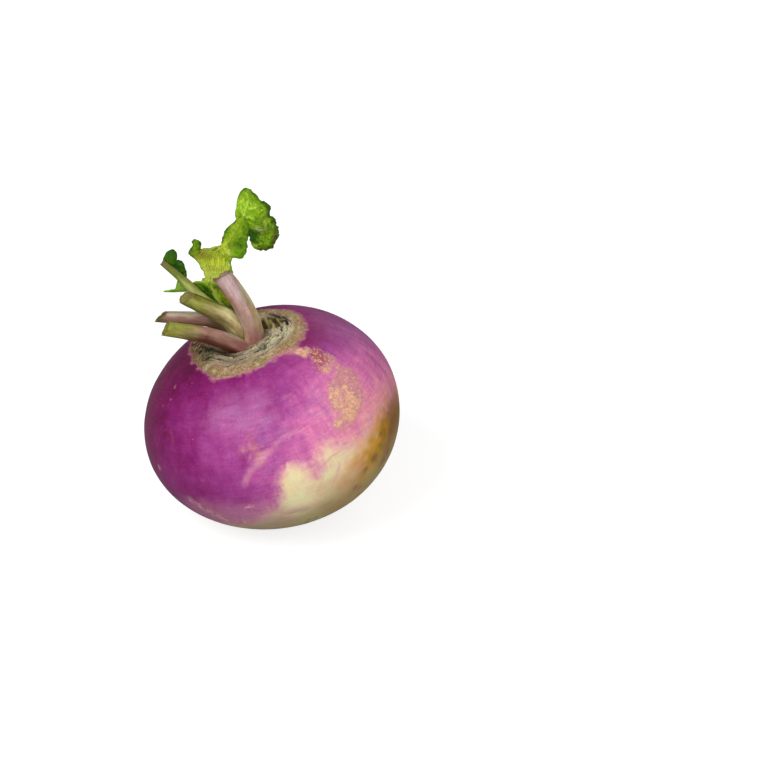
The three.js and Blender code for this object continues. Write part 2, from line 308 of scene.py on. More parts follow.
class Nodes:
    """The nodes of a material or a world, with a method for each kind that is used here."""

    def __init__(self, owner):
        """Starts with the nodes that Blender gives the owner."""
        owner.use_nodes = True
        self.tree = owner.node_tree

    def node(self, kind, settings=None, **inputs):
        """A new node with its settings and its inputs, where an underscore stands for a space."""
        made = self.tree.nodes.new(kind)
        for key, value in (settings or {}).items():
            setattr(made, key, value)
        for key, value in inputs.items():
            self.plug(made.inputs[key.replace("_", " ")], value)
        return made

    def plug(self, socket, value):
        """Links another node's socket to this one, or sets a constant on it."""
        if isinstance(value, bpy.types.NodeSocket):
            self.tree.links.new(value, socket)
        else:
            socket.default_value = value

    def scaled(self, vector, scale):
        """A vector, scaled along each axis."""
        return self.node("ShaderNodeMapping", Vector=vector, Scale=scale).outputs["Vector"]

    def field(self, name, output="Fac"):
        """A field of the piece."""
        return self.node("ShaderNodeAttribute", {"attribute_name": name}).outputs[output]

    def math(self, operation, first, second=0.0):
        """An operation on two numbers."""
        made = self.node("ShaderNodeMath", {"operation": operation})
        self.plug(made.inputs[0], first)
        self.plug(made.inputs[1], second)
        return made.outputs[0]

    def times(self, first, second):
        """The product of two numbers."""
        return self.math("MULTIPLY", first, second)

    def plus(self, first, second):
        """The sum of two numbers."""
        return self.math("ADD", first, second)

    def minus(self, first, second):
        """The first number less the second."""
        return self.math("SUBTRACT", first, second)

    def step(self, value, low, high, to_low=0.0, to_high=1.0):
        """From to_low at low to to_high at high, by an S-curve."""
        curve = {"interpolation_type": "SMOOTHSTEP"}
        ends = {"From_Min": low, "From_Max": high, "To_Min": to_low, "To_Max": to_high}
        return self.node("ShaderNodeMapRange", curve, Value=value, **ends).outputs["Result"]

    def mix(self, share, first, second, how="MIX"):
        """From the first colour to the second by a share, or another way of joining them."""
        made = self.node("ShaderNodeMix", {"data_type": "RGBA", "blend_type": how})
        self.plug(made.inputs["Factor"], share)
        for name, value in (("A", first), ("B", second)):
            socket = [s for s in made.inputs if s.name == name and s.type == "RGBA"][0]
            self.plug(socket, value if isinstance(value, bpy.types.NodeSocket) else (*value, 1))
        return [s for s in made.outputs if s.type == "RGBA"][0]

    def tinted(self, colour, by):
        """Two colours multiplied, channel by channel."""
        return self.mix(1.0, colour, by, "MULTIPLY")

    def toned(self, share, colour, by):
        """A colour that is multiplied by another to a share."""
        return self.mix(share, colour, self.tinted(colour, by))


class Finish(Nodes):
    """The nodes of a piece's material, with sizes and depths in millimetres."""

    def __init__(self, name):
        """Starts with a plain material."""
        self.material = bpy.data.materials.new(name)
        super().__init__(self.material)
        self.shader = self.tree.nodes["Principled BSDF"]
        where = self.node("ShaderNodeTexCoord").outputs["Object"]
        self.mm = self.scaled(where, (1 / MM,) * 3)

    def noise(self, size, detail=3.0, vector=None, roughness=0.55, distortion=0.0):
        """Noise from 0 to 1, with bumps about size across."""
        made = self.node(
            "ShaderNodeTexNoise", Vector=vector or self.mm, Scale=1 / size, Detail=detail,
            Roughness=roughness, Distortion=distortion,
        )
        return made.outputs["Fac"]

    def cracks(self, size):
        """0 on the borders between cells, rising into them."""
        edges = {"feature": "DISTANCE_TO_EDGE"}
        return self.node("ShaderNodeTexVoronoi", edges, Vector=self.mm, Scale=1 / size).outputs["Distance"]

    def bumpy(self, height, depth, under=None):
        """Normals of a relief from a height of 0 to 1, over other normals if there are any."""
        made = self.node("ShaderNodeBump", Height=height, Strength=1.0, Distance=depth * MM)
        if under:
            self.plug(made.inputs["Normal"], under)
        return made.outputs["Normal"]

    def done(self, colour, roughness, normal, **constants):
        """Plugs the colour, roughness and normals in, sets the constants, and gives the material."""
        self.plug(self.shader.inputs["Base Color"], colour)
        self.plug(self.shader.inputs["Roughness"], roughness)
        self.plug(self.shader.inputs["Normal"], normal)
        for key, value in constants.items():
            self.shader.inputs[key.replace("_", " ")].default_value = value
        return self.material


def skin_finish():
    """Waxy skin. The purple and the flesh colour below it are painted apart, and grain that runs from crown
    to tail frays the line where one gives way to the other. Over them come hazy violet patches, pale specks
    and rubbed dashes, netted russet and gritty dry cork, which are rougher."""
    f = Finish("turnip_skin")
    cork, russet = f.field("cork"), f.field("russet")
    girth = f.field("girth", "Vector")
    along = f.noise(1.0, 4.0, vector=f.scaled(girth, (1 / 1.1, 1 / 1.1, 1 / 7.0)), roughness=0.6)
    rings = f.noise(1.0, 3.0, vector=f.scaled(girth, (1 / 7.0, 1 / 7.0, 1 / 0.7)), roughness=0.6)
    ragged = f.noise(2.4, 4.0, roughness=0.6)
    fray = f.plus(f.times(f.minus(along, 0.5), 3.0), f.field("past"))
    fray = f.plus(fray, f.times(f.minus(ragged, 0.5), 5.0))
    bared = f.step(fray, -2.6, 2.8)
    ground = f.mix(bared, f.field("paint", "Color"), f.field("flesh", "Color"))
    waxed = f.step(bared, 0.0, 1.0, 1.0, 0.35)

    hazy = f.step(f.noise(5.5, 4.0, roughness=0.6), 0.46, 0.7)
    ground = f.toned(f.times(hazy, 0.5), ground, (0.90, 1.2, 1.14))
    grain = f.noise(0.9, 5.0, roughness=0.7)
    ground = f.toned(f.times(f.step(grain, 0.28, 0.66, 1.0, 0.0), waxed), ground, (0.86, 0.70, 0.85))
    ground = f.toned(f.times(f.step(along, 0.52, 0.78, 0.0, 0.6), waxed), ground, (1.10, 1.28, 1.08))
    ground = f.toned(f.times(f.step(rings, 0.36, 0.6, 0.5, 0.0), waxed), ground, (0.84, 0.72, 0.84))

    dashes = f.noise(1.0, 1.0, vector=f.scaled(girth, (1 / 2.4, 1 / 2.4, 1 / 0.3)))
    sparse = f.step(f.noise(9.0, 1.0), 0.45, 0.7)
    bare = f.step(cork, 0.4, 0.0)
    marks = f.times(f.step(dashes, 0.7, 0.8), sparse)
    specks = f.step(f.noise(0.8, 1.0), 0.77, 0.84)
    marks = f.times(f.math("MAXIMUM", marks, specks), bare)
    ground = f.mix(f.times(marks, 0.4), ground, (0.74, 0.38, 0.40))

    netted, web = russet_net(f, russet)
    drab = f.mix(f.noise(1.2, 4.0), (0.46, 0.17, 0.18), (0.60, 0.27, 0.28))
    drab = f.mix(f.step(f.field("solid"), -0.7, -0.1, 0.9, 0.0), drab, (0.34, 0.08, 0.075))
    ground = f.mix(f.times(netted, 0.8), ground, drab)
    mottled = f.step(f.noise(0.9, 4.0), 0.35, 0.65)
    golden = f.mix(mottled, (0.62, 0.32, 0.17), (0.88, 0.54, 0.34))
    tan = f.mix(mottled, (0.56, 0.25, 0.22), (0.80, 0.44, 0.37))
    tan = f.mix(f.step(f.math("ABSOLUTE", f.field("solid")), 0.0, 0.6), tan, golden)
    ground = f.mix(f.times(netted, web), ground, tan)

    grit = f.noise(0.55, 5.0, roughness=0.75)
    ground = f.toned(f.times(cork, f.step(grit, 0.36, 0.52, 0.62, 0.0)), ground, (0.30, 0.25, 0.20))
    chalk = f.times(cork, f.step(f.noise(0.9, 4.0, roughness=0.7), 0.5, 0.68, 0.0, 0.6))
    ground = f.toned(chalk, ground, (1.5, 1.55, 1.45))

    rough = f.step(f.math("MAXIMUM", cork, f.times(netted, 0.7)), 0.0, 1.0, 0.42, 0.9)
    rough = f.plus(rough, f.step(grain, 0.2, 0.8, -0.05, 0.07))
    normal = f.bumpy(grain, 0.05)
    normal = f.bumpy(f.times(netted, web), 0.07, normal)
    normal = f.bumpy(f.times(cork, grit), 0.8, normal)
    return f.done(
        ground, rough, normal, Specular_IOR_Level=0.18, IOR=1.45, Subsurface_Weight=0.06,
        Subsurface_Radius=(1.0, 0.3, 0.3), Subsurface_Scale=1.5 * MM,
    )


def russet_net(f, russet):
    """Where russet shows, with a frayed edge, and its tan plates: 0 along the lines where either of two
    wandering fields crosses its middle value, unless they have closed over, and 1 between them. The lines
    are wider where the russet is thin and dark."""
    frayed = f.minus(f.noise(1.6, 4.0, roughness=0.75), 0.5)
    netted = f.step(f.plus(russet, f.times(frayed, 1.9)), 0.2, 1.0)
    lines = []
    for size in (2.6, 1.7):
        field = f.noise(size, 2.0, distortion=0.8)
        lines.append(f.math("ABSOLUTE", f.minus(field, 0.5)))
    widened = f.times(f.step(f.field("solid"), -0.7, -0.1, 1.0, 0.0), 0.018)
    web = f.step(f.minus(f.math("MINIMUM", *lines), widened), 0.01, 0.055)
    solid = f.plus(f.field("solid"), f.times(frayed, 1.4))
    plates = f.math("MAXIMUM", web, f.step(solid, 0.3, 0.8, 0.0, 0.92))
    return netted, f.times(plates, 0.86)


def stalk_finish(name, contrast):
    """Fibrous flesh: the painted ground with fine lines and soft blotches drawn out along the stalk, brown
    flecks, and dried brown edges."""
    f = Finish(name)
    grain = f.field("grain", "Vector")
    dry = f.field("dry")
    ground = f.field("paint", "Color")
    blotch = f.noise(1.6, 4.0, vector=f.scaled(grain, (1, 1, 0.4)), roughness=0.6)
    ground = f.mix(f.step(blotch, 0.3, 0.62), f.tinted(ground, (0.74, 0.66, 0.62)), ground)
    ground = f.toned(f.step(blotch, 0.55, 0.8, 0.0, 0.6), ground, (1.25, 1.22, 1.25))
    lines = f.noise(0.55, 4.0, vector=f.scaled(grain, (1, 1, 0.06)), roughness=0.6)
    dark = (1 - 0.16 * contrast, 1 - 0.2 * contrast, 1 - 0.24 * contrast)
    ground = f.mix(f.step(lines, 0.32, 0.6), f.tinted(ground, dark), ground)
    fleck = f.step(f.noise(0.5, 2.0, vector=f.scaled(grain, (1, 1, 0.4))), 0.68, 0.76)
    ground = f.mix(f.times(fleck, 0.55), ground, (0.16, 0.07, 0.03))
    crust = f.mix(f.noise(0.5, 4.0), (0.05, 0.035, 0.012), (0.26, 0.17, 0.07))
    ground = f.mix(f.times(dry, 0.9), ground, crust)
    normal = f.bumpy(lines, 0.09 * contrast)
    normal = f.bumpy(blotch, 0.2, normal)
    return f.done(
        ground, f.step(dry, 0.0, 1.0, 0.46, 0.9), normal, Specular_IOR_Level=0.4, IOR=1.42,
        Subsurface_Weight=0.15, Subsurface_Radius=(1.0, 0.6, 0.3), Subsurface_Scale=1.2 * MM,
    )


def leaf_finish():
    """Thin leaf: the painted greens with paler fine veins and a faint bloom, light coming through it."""
    f = Finish("leaf_blade")
    paint = f.field("paint", "Color")
    net = f.step(f.cracks(1.1), 0.0, 0.12)
    grainy = f.noise(0.8, 4.0, roughness=0.7)
    ground = f.mix(f.step(grainy, 0.3, 0.72), f.tinted(paint, (0.66, 0.72, 0.5)), paint)
    ground = f.toned(f.step(net, 0.0, 1.0, 0.3, 0.0), ground, (1.35, 1.22, 1.2))
    normal = f.bumpy(f.plus(net, f.times(grainy, 0.8)), 0.12)
    return f.done(
        ground, f.step(grainy, 0.2, 0.8, 0.46, 0.66), normal, Specular_IOR_Level=0.14, IOR=1.42,
        Subsurface_Weight=0.35, Subsurface_Radius=(0.7, 1.0, 0.2), Subsurface_Scale=1.0 * MM,
    )


# ---- Root ----

ROOT_COLUMNS = 392
ROOT_ROWS = 252
TABLE_ROWS = 6000

# Millimetres between the rows, at lengths along the profile from the crown's middle
SPACING_AT = [0, 7, 9, 26, 32, 118, 126, 140]
SPACING = [0.6, 0.5, 0.24, 0.24, 0.7, 0.8, 0.4, 0.4]

SETTLE_SOFT = 0.5  # how softly the root flattens where it stands
TAIL_WRINKLES = 11
STRAND_STRETCH = 2.2  # noise sees the turn round the crown as a circle of this radius

# Colours of the skin, the cork and the crown. The purples go from the deepest to the pink where it gives out,
# and the flesh colours from clean cream to brown, whose darkest end is partly painted shade.
PURPLES = [
    (0.10, 0.003, 0.045), (0.19, 0.005, 0.095), (0.26, 0.015, 0.155), (0.33, 0.04, 0.22),
    (0.40, 0.068, 0.28), (0.54, 0.12, 0.35), (0.74, 0.21, 0.42), (0.90, 0.37, 0.41),
]
FLESHES = [
    (0.86, 0.75, 0.42), (0.87, 0.64, 0.34), (0.76, 0.43, 0.17), (0.62, 0.315, 0.025), (0.44, 0.215, 0.006),
    (0.27, 0.11, 0.004),
]
WINE = rgb(0.22, 0.012, 0.08)
BLUSH = rgb(0.84, 0.4, 0.42)
UNDERSIDE = rgb(0.4, 0.32, 0.125)
BELLY = rgb(0.56, 0.46, 0.24)
MAUVE = rgb(0.42, 0.16, 0.25)
MAUVE_PALE = rgb(0.62, 0.27, 0.37)
HIGHLIGHT_LAVENDER = rgb(0.47, 0.175, 0.385)
RUB = rgb(0.62, 0.3, 0.26)
PALE_RUB = rgb(0.86, 0.42, 0.45)
PEELED = rgb(0.92, 0.6, 0.5)
RUST = rgb(0.34, 0.07, 0.06)
CORK = rgb(0.56, 0.375, 0.195)
CORK_OLIVE = rgb(0.46, 0.35, 0.135)
CORK_PALE = rgb(0.82, 0.66, 0.4)
CROWN_GREY = rgb(0.78, 0.64, 0.4)
CROWN_CREST = rgb(0.9, 0.77, 0.46)
CROWN_ASH = rgb(0.42, 0.39, 0.34)
FRINGE = rgb(0.6, 0.26, 0.27)
CROWN_GREEN = rgb(0.17, 0.17, 0.075)
BARK = rgb(0.16, 0.085, 0.035)
FISSURE = rgb(0.022, 0.016, 0.012)
HOLLOW = rgb(0.09, 0.068, 0.012)
RIB = rgb(0.52, 0.44, 0.15)

# Places on the skin are (polar angle from the crown, turn about the axis) in degrees, turn 0 towards +X.

# The shore, all the way round, where the purple gives way to bare flesh
SHORE = [
    (118, -200), (117, -150), (119, -125), (116, -108), (111, -98), (106, -92), (103, -88), (99, -86),
    (95, -85), (91, -84), (86, -82), (83, -79), (82, -75), (84, -71), (88, -68.5), (92, -67.5),
    (90, -65.5), (84, -65.5), (80, -62), (79, -59), (82, -55), (85, -51), (87, -46), (86, -40), (85, -34),
    (84, -28), (84, -20), (86, -12), (89, -4), (94, 8), (98, 20), (106, 60), (113, 100), (117, 140),
    (118, 200),
]
SHORE_SOFT_TURN = [-100, -80, -66, -40, -20, 40, 120]
SHORE_SOFT = [1.5, 0.9, 1.8, 2.0, 2.6, 2.4, 1.6]

# How far the purple has thinned, from 0 to 1, at turns round the root and at three polar angles
THINNED_TURN = [-180, -155, -140, -125, -110, -97, -85, -75, -65, -55, -45, -35, -22, -10, 10, 50, 100, 140]
THINNED_POLAR = [30, 57, 84]
THINNED = [
    [0, 0.06, 0.16, 0.24, 0.24, 0.24, 0.33, 0.39, 0.4, 0.46, 0.5, 0.42, 0.18, 0.3, 0.36, 0.3, 0.22, 0.1],
    [0.06, 0.13, 0.24, 0.4, 0.56, 0.62, 0.62, 0.58, 0.68, 0.8, 0.9, 0.9, 0.84, 0.78, 0.64, 0.42, 0.34, 0.16],
    [0.06, 0.17, 0.26, 0.3, 0.42, 0.56, 0.68, 0.78, 0.92, 0.98, 1, 1, 1, 1, 0.86, 0.55, 0.4, 0.2],
]

# Netted russet runs down from the crown: (polar angle, turn, half width in millimetres)
RUSSET = [
    (29, -42, 1.6), (31, -39, 2.2), (34, -37, 2.2), (37, -37, 1.8), (37, -33, 2.4), (40, -30, 2.6),
    (41, -32, 3.0), (44, -34, 3.2), (46, -30, 3.2), (48, -36, 2.6), (52, -29, 1.4), (58, -30, 3.4),
    (58, -35, 3.0), (61, -30, 3.6), (63, -37, 4.4), (60, -41, 2.8), (67, -34, 4.2), (68, -42, 3.8),
    (72, -38, 3.2), (73, -43, 3.6), (74, -49, 2.4), (62, -45, 2.2), (66, -46, 2.2), (57, -41, 1.8),
]

# In places it has closed over into solid tan: (polar angle, turn, half width)
SOLID_RUSSET = [
    (34, -38, 1.7), (37, -37, 1.5), (49, -37, 1.6), (37, -32, 1.4), (62, -42, 1.6), (59, -44, 1.2),
    (62, -36, 1.2), (66, -44, 2.4), (61, -45, 1.6), (70, -38, 3.4), (73, -42, 3.4), (66, -37, 1.8),
    (74, -50, 1.6),
]

# And here it is thin and dark: (polar angle, turn, half width)
THIN_RUSSET = [(40, -31, 2.8), (44, -33, 2.6), (46, -38, 1.8)]

# Pale lumps of cork and dark holes on the crown's edge: (polar angle, turn, half width)
CORK_LUMPS = [(23, -130, 1.7), (25, -131, 1.2), (26, -118, 0.9), (23, -78, 1.0)]
CORK_HOLES = [(20, -146, 1.3), (19.5, -139, 0.8)]

# Rubbed places: (polar angle, turn, half width)
RUBBED = [
    (68, -94, 1.7), (68, -90, 1.9), (71, -87, 1.9), (75, -89, 1.8), (72, -92, 1.2), (103, -101, 2.0),
    (98, -130, 1.5), (102, -126, 1.8), (106, -124, 2.0), (109, -121, 2.2), (113, -118, 2.4),
    (116, -108, 2.6), (83, -147, 0.9), (80, 112, 1.5), (82, 108, 1.1), (96, 172, 1.6), (99, 166, 1.2),
    (50, 96, 1.0),
]

# Painted highlight, a pale lavender sheen on the waxy skin where the light catches it: (polar angle, turn,
# half width)
PAINTED_HIGHLIGHTS = [
    (50, -98, 5), (53, -89, 6), (51, -106, 4), (49, -80, 4), (58, -82, 6), (62, -79, 5), (64, -46, 4),
    (60, -52, 4), (57, 8, 6),
]

# Scratches: the places along one, half width, strength
SCRATCHES = [
    ([(87, -98), (83, -96), (79, -93), (75, -88), (72, -83)], 1.0, 0.8),
    ([(75, -88), (70, -80), (68, -76), (67, -72), (68, -66)], 0.7, 0.6),
    ([(69, -73), (67, -70), (68, -64)], 0.16, 0.9), ([(80, -40), (79, -34)], 0.4, 1.9),
    ([(50, -69), (50, -62)], 0.4, 0.5), ([(53, -66), (51, -60)], 0.2, 0.5),
    ([(61, -59), (62, -57)], 0.6, 0.9), ([(83, -118), (83, -116)], 0.3, 1.0),
    ([(87, -121), (86, -119)], 0.25, 0.8), ([(74, -122), (76, -121)], 0.3, 0.5),
    ([(39, -150), (40, -148)], 0.3, 0.9), ([(45, -147), (46, -145)], 0.25, 0.8),
    ([(50, -152), (50, -150)], 0.25, 0.8), ([(77, -110), (78, -104)], 0.2, 0.4),
    ([(74, 150), (78, 146), (80, 143), (86, 140)], 0.2, 0.5), ([(66, 62), (64, 68), (59, 72)], 0.16, 0.6),
    ([(58, 118), (61, 121), (66, 122)], 0.14, 0.4),
]

# Rust-coloured lines, in the same way
RUST_LINES = [
    ([(52, -112), (46, -107), (42, -102), (40, -99), (38, -94)], 0.35, 0.32),
    ([(59, -137), (62, -135), (66, -133)], 0.5, 0.4), ([(60, -91), (65, -89), (69, -90)], 0.9, 0.3),
    ([(67, -151), (70, -150)], 0.4, 0.3), ([(89, -63), (87, -57), (87, -51)], 0.35, 0.4),
    ([(44, 88), (47, 87), (52, 84)], 0.16, 0.5), ([(70, 128), (73, 130), (75, 129)], 0.2, 0.5),
]

# Brown bruises on the flesh: (polar angle, turn, half width)
BRUISES = [
    (97, -17, 1.7), (95, -31, 1.1), (114, -30, 2.0), (111, -26, 1.5), (105, -38, 1.7), (108, -44, 1.5),
    (100, -23, 1.6), (117, -50, 1.3), (120, -47, 1.0), (129, -77, 0.9), (130, -73, 0.9), (101, -33, 0.9),
    (134, -79, 1.2), (142, -68, 1.0), (112, 30, 1.4), (121, 84, 1.2), (126, -150, 1.1), (106, 2, 1.2),
    (103, 12, 0.8),
]

# Places in the crown are (radius in millimetres, turn).
CORK_TURN = [-176, -150, -134, -122, -110, -98, -80, -67, -52, -37, -26, -14, 1, 19, 37, 60, 100, 158]
CORK_EDGE = [
    19.6, 19.8, 20.8, 23.2, 24.6, 23.3, 23.6, 22.8, 22.4, 24.4, 23.8, 23.0, 22.6, 22.8, 22.4, 20.8, 21.6,
    22.6,
]
RINGED_TURN = [-175, -139, -111, -90, -65, -38, -17, 5, 29, 90, 140]
RINGED_EDGE = [16.8, 16.6, 18.8, 19.2, 18.7, 18.3, 19.2, 18.7, 18.4, 17.4, 17.2]

# Old leaf scars have split into cracks: (places along one, width, depth)
CRACKS = [
    ([(16.6, -168), (14.7, -148), (13.5, -138), (14.0, -105), (14.5, -78), (14.6, -64)], 0.34, 1.1),
    ([(11.7, -150), (10.9, -112), (11.2, -84), (12.4, -62)], 0.26, 0.8),
    ([(16.0, -128), (16.3, -104), (16.4, -84)], 0.22, 0.6),
    ([(8.1, -84), (8.6, -66), (9.6, -54)], 0.42, 1.0),
    ([(8.8, -132), (8.6, -104)], 0.4, 0.8),
    ([(13.4, -58), (15.4, -49), (16.6, -40), (17.0, -28)], 0.22, 0.6),
    ([(15.8, 39), (16.8, 23), (16.7, 10)], 0.5, 1.3),
    ([(14.9, 12), (14.2, 4), (14.6, -4)], 0.36, 0.8),
    ([(19.4, 78), (17.5, 51), (17.4, 33), (18.0, 18), (18.2, 6)], 0.28, 0.9),
    ([(10.4, -4), (10.0, -22), (9.4, -36)], 0.24, 0.6),
    ([(16.0, -10), (16.2, -24), (15.6, -38)], 0.22, 0.5),
    ([(19.0, 164), (18.4, 180), (18.3, -159)], 0.3, 0.6),
    ([(13.2, 82), (13.8, 116), (13.0, 146)], 0.36, 1.0),
    ([(16.2, 98), (16.0, 130), (15.2, 158)], 0.28, 0.8),
    ([(10.6, 100), (10.8, 138), (11.4, 168)], 0.3, 0.8),
    ([(18.2, 96), (18.0, 132)], 0.26, 0.6),
]

# Lens-shaped pits: (radius, turn, half length, half width, depth, slant in degrees)
PITS = [
    (12.6, -17, 2.4, 0.6, 1.5, 22), (11.7, -40, 1.7, 1.2, 0.9, 10), (14.5, -150, 1.5, 0.9, 2.2, 0),
    (14.6, 9, 1.0, 0.7, 0.9, -20), (19.2, 150, 1.6, 0.7, 1.0, 0), (14.4, 128, 1.8, 0.7, 1.2, 8),
    (16.5, -176, 1.5, 0.7, 0.8, 30), (12.2, -172, 1.4, 0.8, 0.7, 60),
]
RIM_WIDTH = 0.45  # the swollen edge round a pit

# The rotted hollow behind the upright stalk: radius, turn, half widths along the radius and round the
# crown, depth
HOLLOW_RADIUS, HOLLOW_TURN, HOLLOW_LONG, HOLLOW_ROUND, HOLLOW_DEPTH = 12.4, 50, 5.0, 6.6, 3.0

# Fibres that arch across it: (places along one, width)
FIBRES = [
    ([(15.8, 60), (14.2, 48), (13.2, 36), (13.4, 25)], 0.5),
    ([(16.6, 48), (15.4, 38), (14.9, 28), (15.2, 20)], 0.5),
    ([(17.2, 68), (13.6, 54), (11.4, 36), (11.0, 16)], 0.55),
    ([(14.0, 78), (10.6, 58), (9.0, 34), (8.4, 6)], 0.5), ([(17.4, 84), (12.6, 68)], 0.5),
]

# The painted shadow below the front stalk follows these places
FRONT_STALK_SHADE = [
    (7.2, -88), (8.9, -106), (9.6, -126), (10.4, -149), (12.4, -170), (14.7, 178), (17.4, 170),
    (21.5, 163),
]


def root_profile(angle):
    """Radius and height about the axis for a polar angle: an ellipse, cut off by a soft plateau at the
    crown with a raised collar and a low boss, and dimpled round a small nub at the tail."""
    radius = EQUATOR_RADIUS * np.sin(angle)
    height = HALF_HEIGHT * np.cos(angle)
    crown = (height + CROWN_PLATEAU - np.hypot(height - CROWN_PLATEAU, CROWN_BLEND)) / 2
    crown = crown + COLLAR_RISE * bump(radius - COLLAR_RADIUS, COLLAR_WIDTH)
    crown = crown + BOSS_RISE * bump(radius, BOSS_WIDTH)
    tail = height + DIMPLE_DEPTH * bump(radius, DIMPLE_WIDTH) - NUB_HEIGHT * bump(radius, NUB_WIDTH)
    return radius, np.where(angle < np.pi / 2, crown, tail)


def root_place(polar, turn):
    """A point on the plain root for a polar angle and a turn in degrees, about the root's own axis."""
    radius, height = root_profile(np.radians(np.asarray(polar, float)))
    return cylinder(radius, np.radians(turn), height)


def root_grid():
    """Rows at polar angles that are close together over the crown and wider on the body, by spacing that is
    a function of the length along the profile. Gives the points, the polar angles, the turns and that
    length."""
    angle = np.linspace(0, np.pi, TABLE_ROWS)
    radius, height = root_profile(angle)
    length = np.concatenate([[0], np.cumsum(np.hypot(np.diff(radius), np.diff(height)))])
    spacing = np.interp(length, SPACING_AT, SPACING)
    row = np.concatenate([[0], np.cumsum(np.diff(length) / spacing[1:])])
    picked = np.linspace(row[3], row[-4], ROOT_ROWS)
    angle = np.interp(picked, row, angle)[:, None]
    length = np.interp(picked, row, length)[:, None]
    turn = np.linspace(-np.pi, np.pi, ROOT_COLUMNS, endpoint=False)[None, :]
    radius, height = root_profile(angle)
    swell = 1 + sum(
        share * (radius / EQUATOR_RADIUS) * np.cos(count * turn + shift) for count, share, shift in LOBES
    )
    sway = TAIL_SWAY * (np.minimum(height, 0) / HALF_HEIGHT) ** 2
    grid = cylinder(radius * swell, turn, height) + stacked(sway, 0, 0)
    return grid, *np.broadcast_arrays(angle, turn, length)


def near(points, places, soft=0.5, seed=71):
    """1 near any of the places (polar, turn, half width), 0 away from them, with an uneven, soft edge."""
    uneven = 1 + 0.3 * fractal(points, 4, seed) + 0.2 * noise(points, 1.4, seed + 1)
    reach = 0
    for polar, turn, half in places:
        distance = np.linalg.norm(points - root_place(polar, turn), axis=-1)
        reach = np.maximum(reach, smooth(1 + soft, 1 - soft, distance * uneven / half))
    return reach


def near_path(points, places, half):
    """1 on a smooth path through places on the skin, which wavers a little, fading to 0 at twice its half
    width and towards its ends."""
    path = spline(np.stack([root_place(*place) for place in places]), 4 * len(places))
    gap, share = along_track(points + 0.25 * half**0.5 * wander(points, 1.6, 75), path)
    return smooth(2 * half, 0.3 * half, gap) * smooth(0, 0.2, share + 0.1) * smooth(1, 0.8, share - 0.1)


def crown_line(spots, places):
    """How far each spot (x, y) in the plane of the crown is from a smooth line through places (radius,
    turn), and the share of the way along it where it is nearest."""
    radius, turn = np.array(places, float).T
    knots = cylinder(radius, np.radians(turn), 0)[:, :2]
    return along_track(spots, spline(knots, 4 * len(knots)))


def crown_fields(points, turn):
    """Masks and relief of the crown: a ragged band of gritty cork, ringed leaf scars inside it that have
    dried into strands and cracks, lens-shaped pits with swollen rims, and a rotted hollow crossed by
    fibres."""
    across = off_axis(points)
    here = smooth(20, 32, points[..., 2])
    degrees = np.degrees(turn)
    edge = np.interp(degrees, CORK_TURN, CORK_EDGE, period=360) + 0.4 * noise(points, 6, 3)
    edge = edge + 0.8 * noise(points, 2.6, 4) + 0.5 * noise(points, 1.0, 5)
    cork = here * smooth(edge + 0.7, edge - 0.7, across)
    frayed = across + 0.5 * noise(points, 1.2, 9) + 0.4 * noise(points, 0.6, 8)
    fringe = here * smooth(edge + 1.7, edge + 0.1, frayed)
    inner = np.interp(degrees, RINGED_TURN, RINGED_EDGE, period=360) + 0.6 * noise(points, 4, 6)
    ringed = here * smooth(inner + 1.2, inner - 0.8, across)
    granular = cork * (1 - ringed)

    wobble = 0.5 * noise(points, 5, 7) + 0.28 * noise(points, 2, 8)
    drawn = cylinder(STRAND_STRETCH, turn, across + wobble)
    strands = 0.6 * noise(drawn, 1.3, 15) + 0.4 * noise(drawn * [2, 2, 1], 0.7, 16)
    split = bump(noise(drawn, 1.15, 17), 0.13) * smooth(-0.3, 0.3, noise(points, 3.5, 18))
    fine = bump(noise(drawn * [2, 2, 1], 0.75, 19), 0.12) * smooth(-0.5, 0.2, noise(points, 2.5, 20))

    spots = points[..., :2] + 0.4 * wander(points, 2.2, 23, axes=2)
    crack = 0
    for places, width, depth in CRACKS:
        gap, share = crown_line(spots, places)
        thin = width * (0.45 + 0.55 * np.sin(np.pi * np.clip(share, 0.02, 0.98)))
        crack = np.maximum(crack, depth * bump(gap, thin) * smooth(3 * width, 0, gap))

    pit, rim = 0, 0
    for radius, at, length, width, depth, slant in PITS:
        east = across * np.sin(turn - np.radians(at))
        north = across * np.cos(turn - np.radians(at)) - radius
        c, s = np.cos(np.radians(slant)), np.sin(np.radians(slant))
        lens = np.sqrt(((east * c + north * s) / length) ** 2 + ((north * c - east * s) / width) ** 2)
        lens = lens + 0.22 * noise(points, 1.1, 10)
        pit = np.maximum(pit, depth * smooth(1.15, 0.6, lens))
        rim = np.maximum(rim, bump((lens - 1.35) * width, RIM_WIDTH))

    at = np.radians(HOLLOW_TURN)
    east = across * np.sin(turn - at) / HOLLOW_ROUND
    north = (across * np.cos(turn - at) - HOLLOW_RADIUS) / HOLLOW_LONG
    hollow = here * smooth(1.2, 0.5, np.hypot(north, east) + 0.16 * noise(points, 2.2, 11))
    fibre = 0
    for places, width in FIBRES:
        gap, share = crown_line(spots, places)
        fibre = np.maximum(fibre, bump(gap, width) * span(share, 0, 0.1, 0.8, 1.05))

    lumps = 0.5 * fractal(points, 1.7, 12) + 0.4 * np.abs(noise(points, 0.9, 13))
    grooves = ringed * (crack + 0.42 * split + 0.25 * fine) * (1 - 0.8 * hollow)
    relief = 0.22 * cork + granular * lumps + ringed * (0.5 * strands + 0.12 * fractal(points, 0.8, 14))
    relief = relief - grooves - here * pit + 0.35 * here * rim
    relief = relief - (HOLLOW_DEPTH - 1.6 * fibre) * hollow
    return dict(
        cork=cork, fringe=fringe, ringed=ringed, strands=strands, grooves=grooves, pit=here * pit,
        hollow=hollow, fibre=fibre, relief=relief,
    )


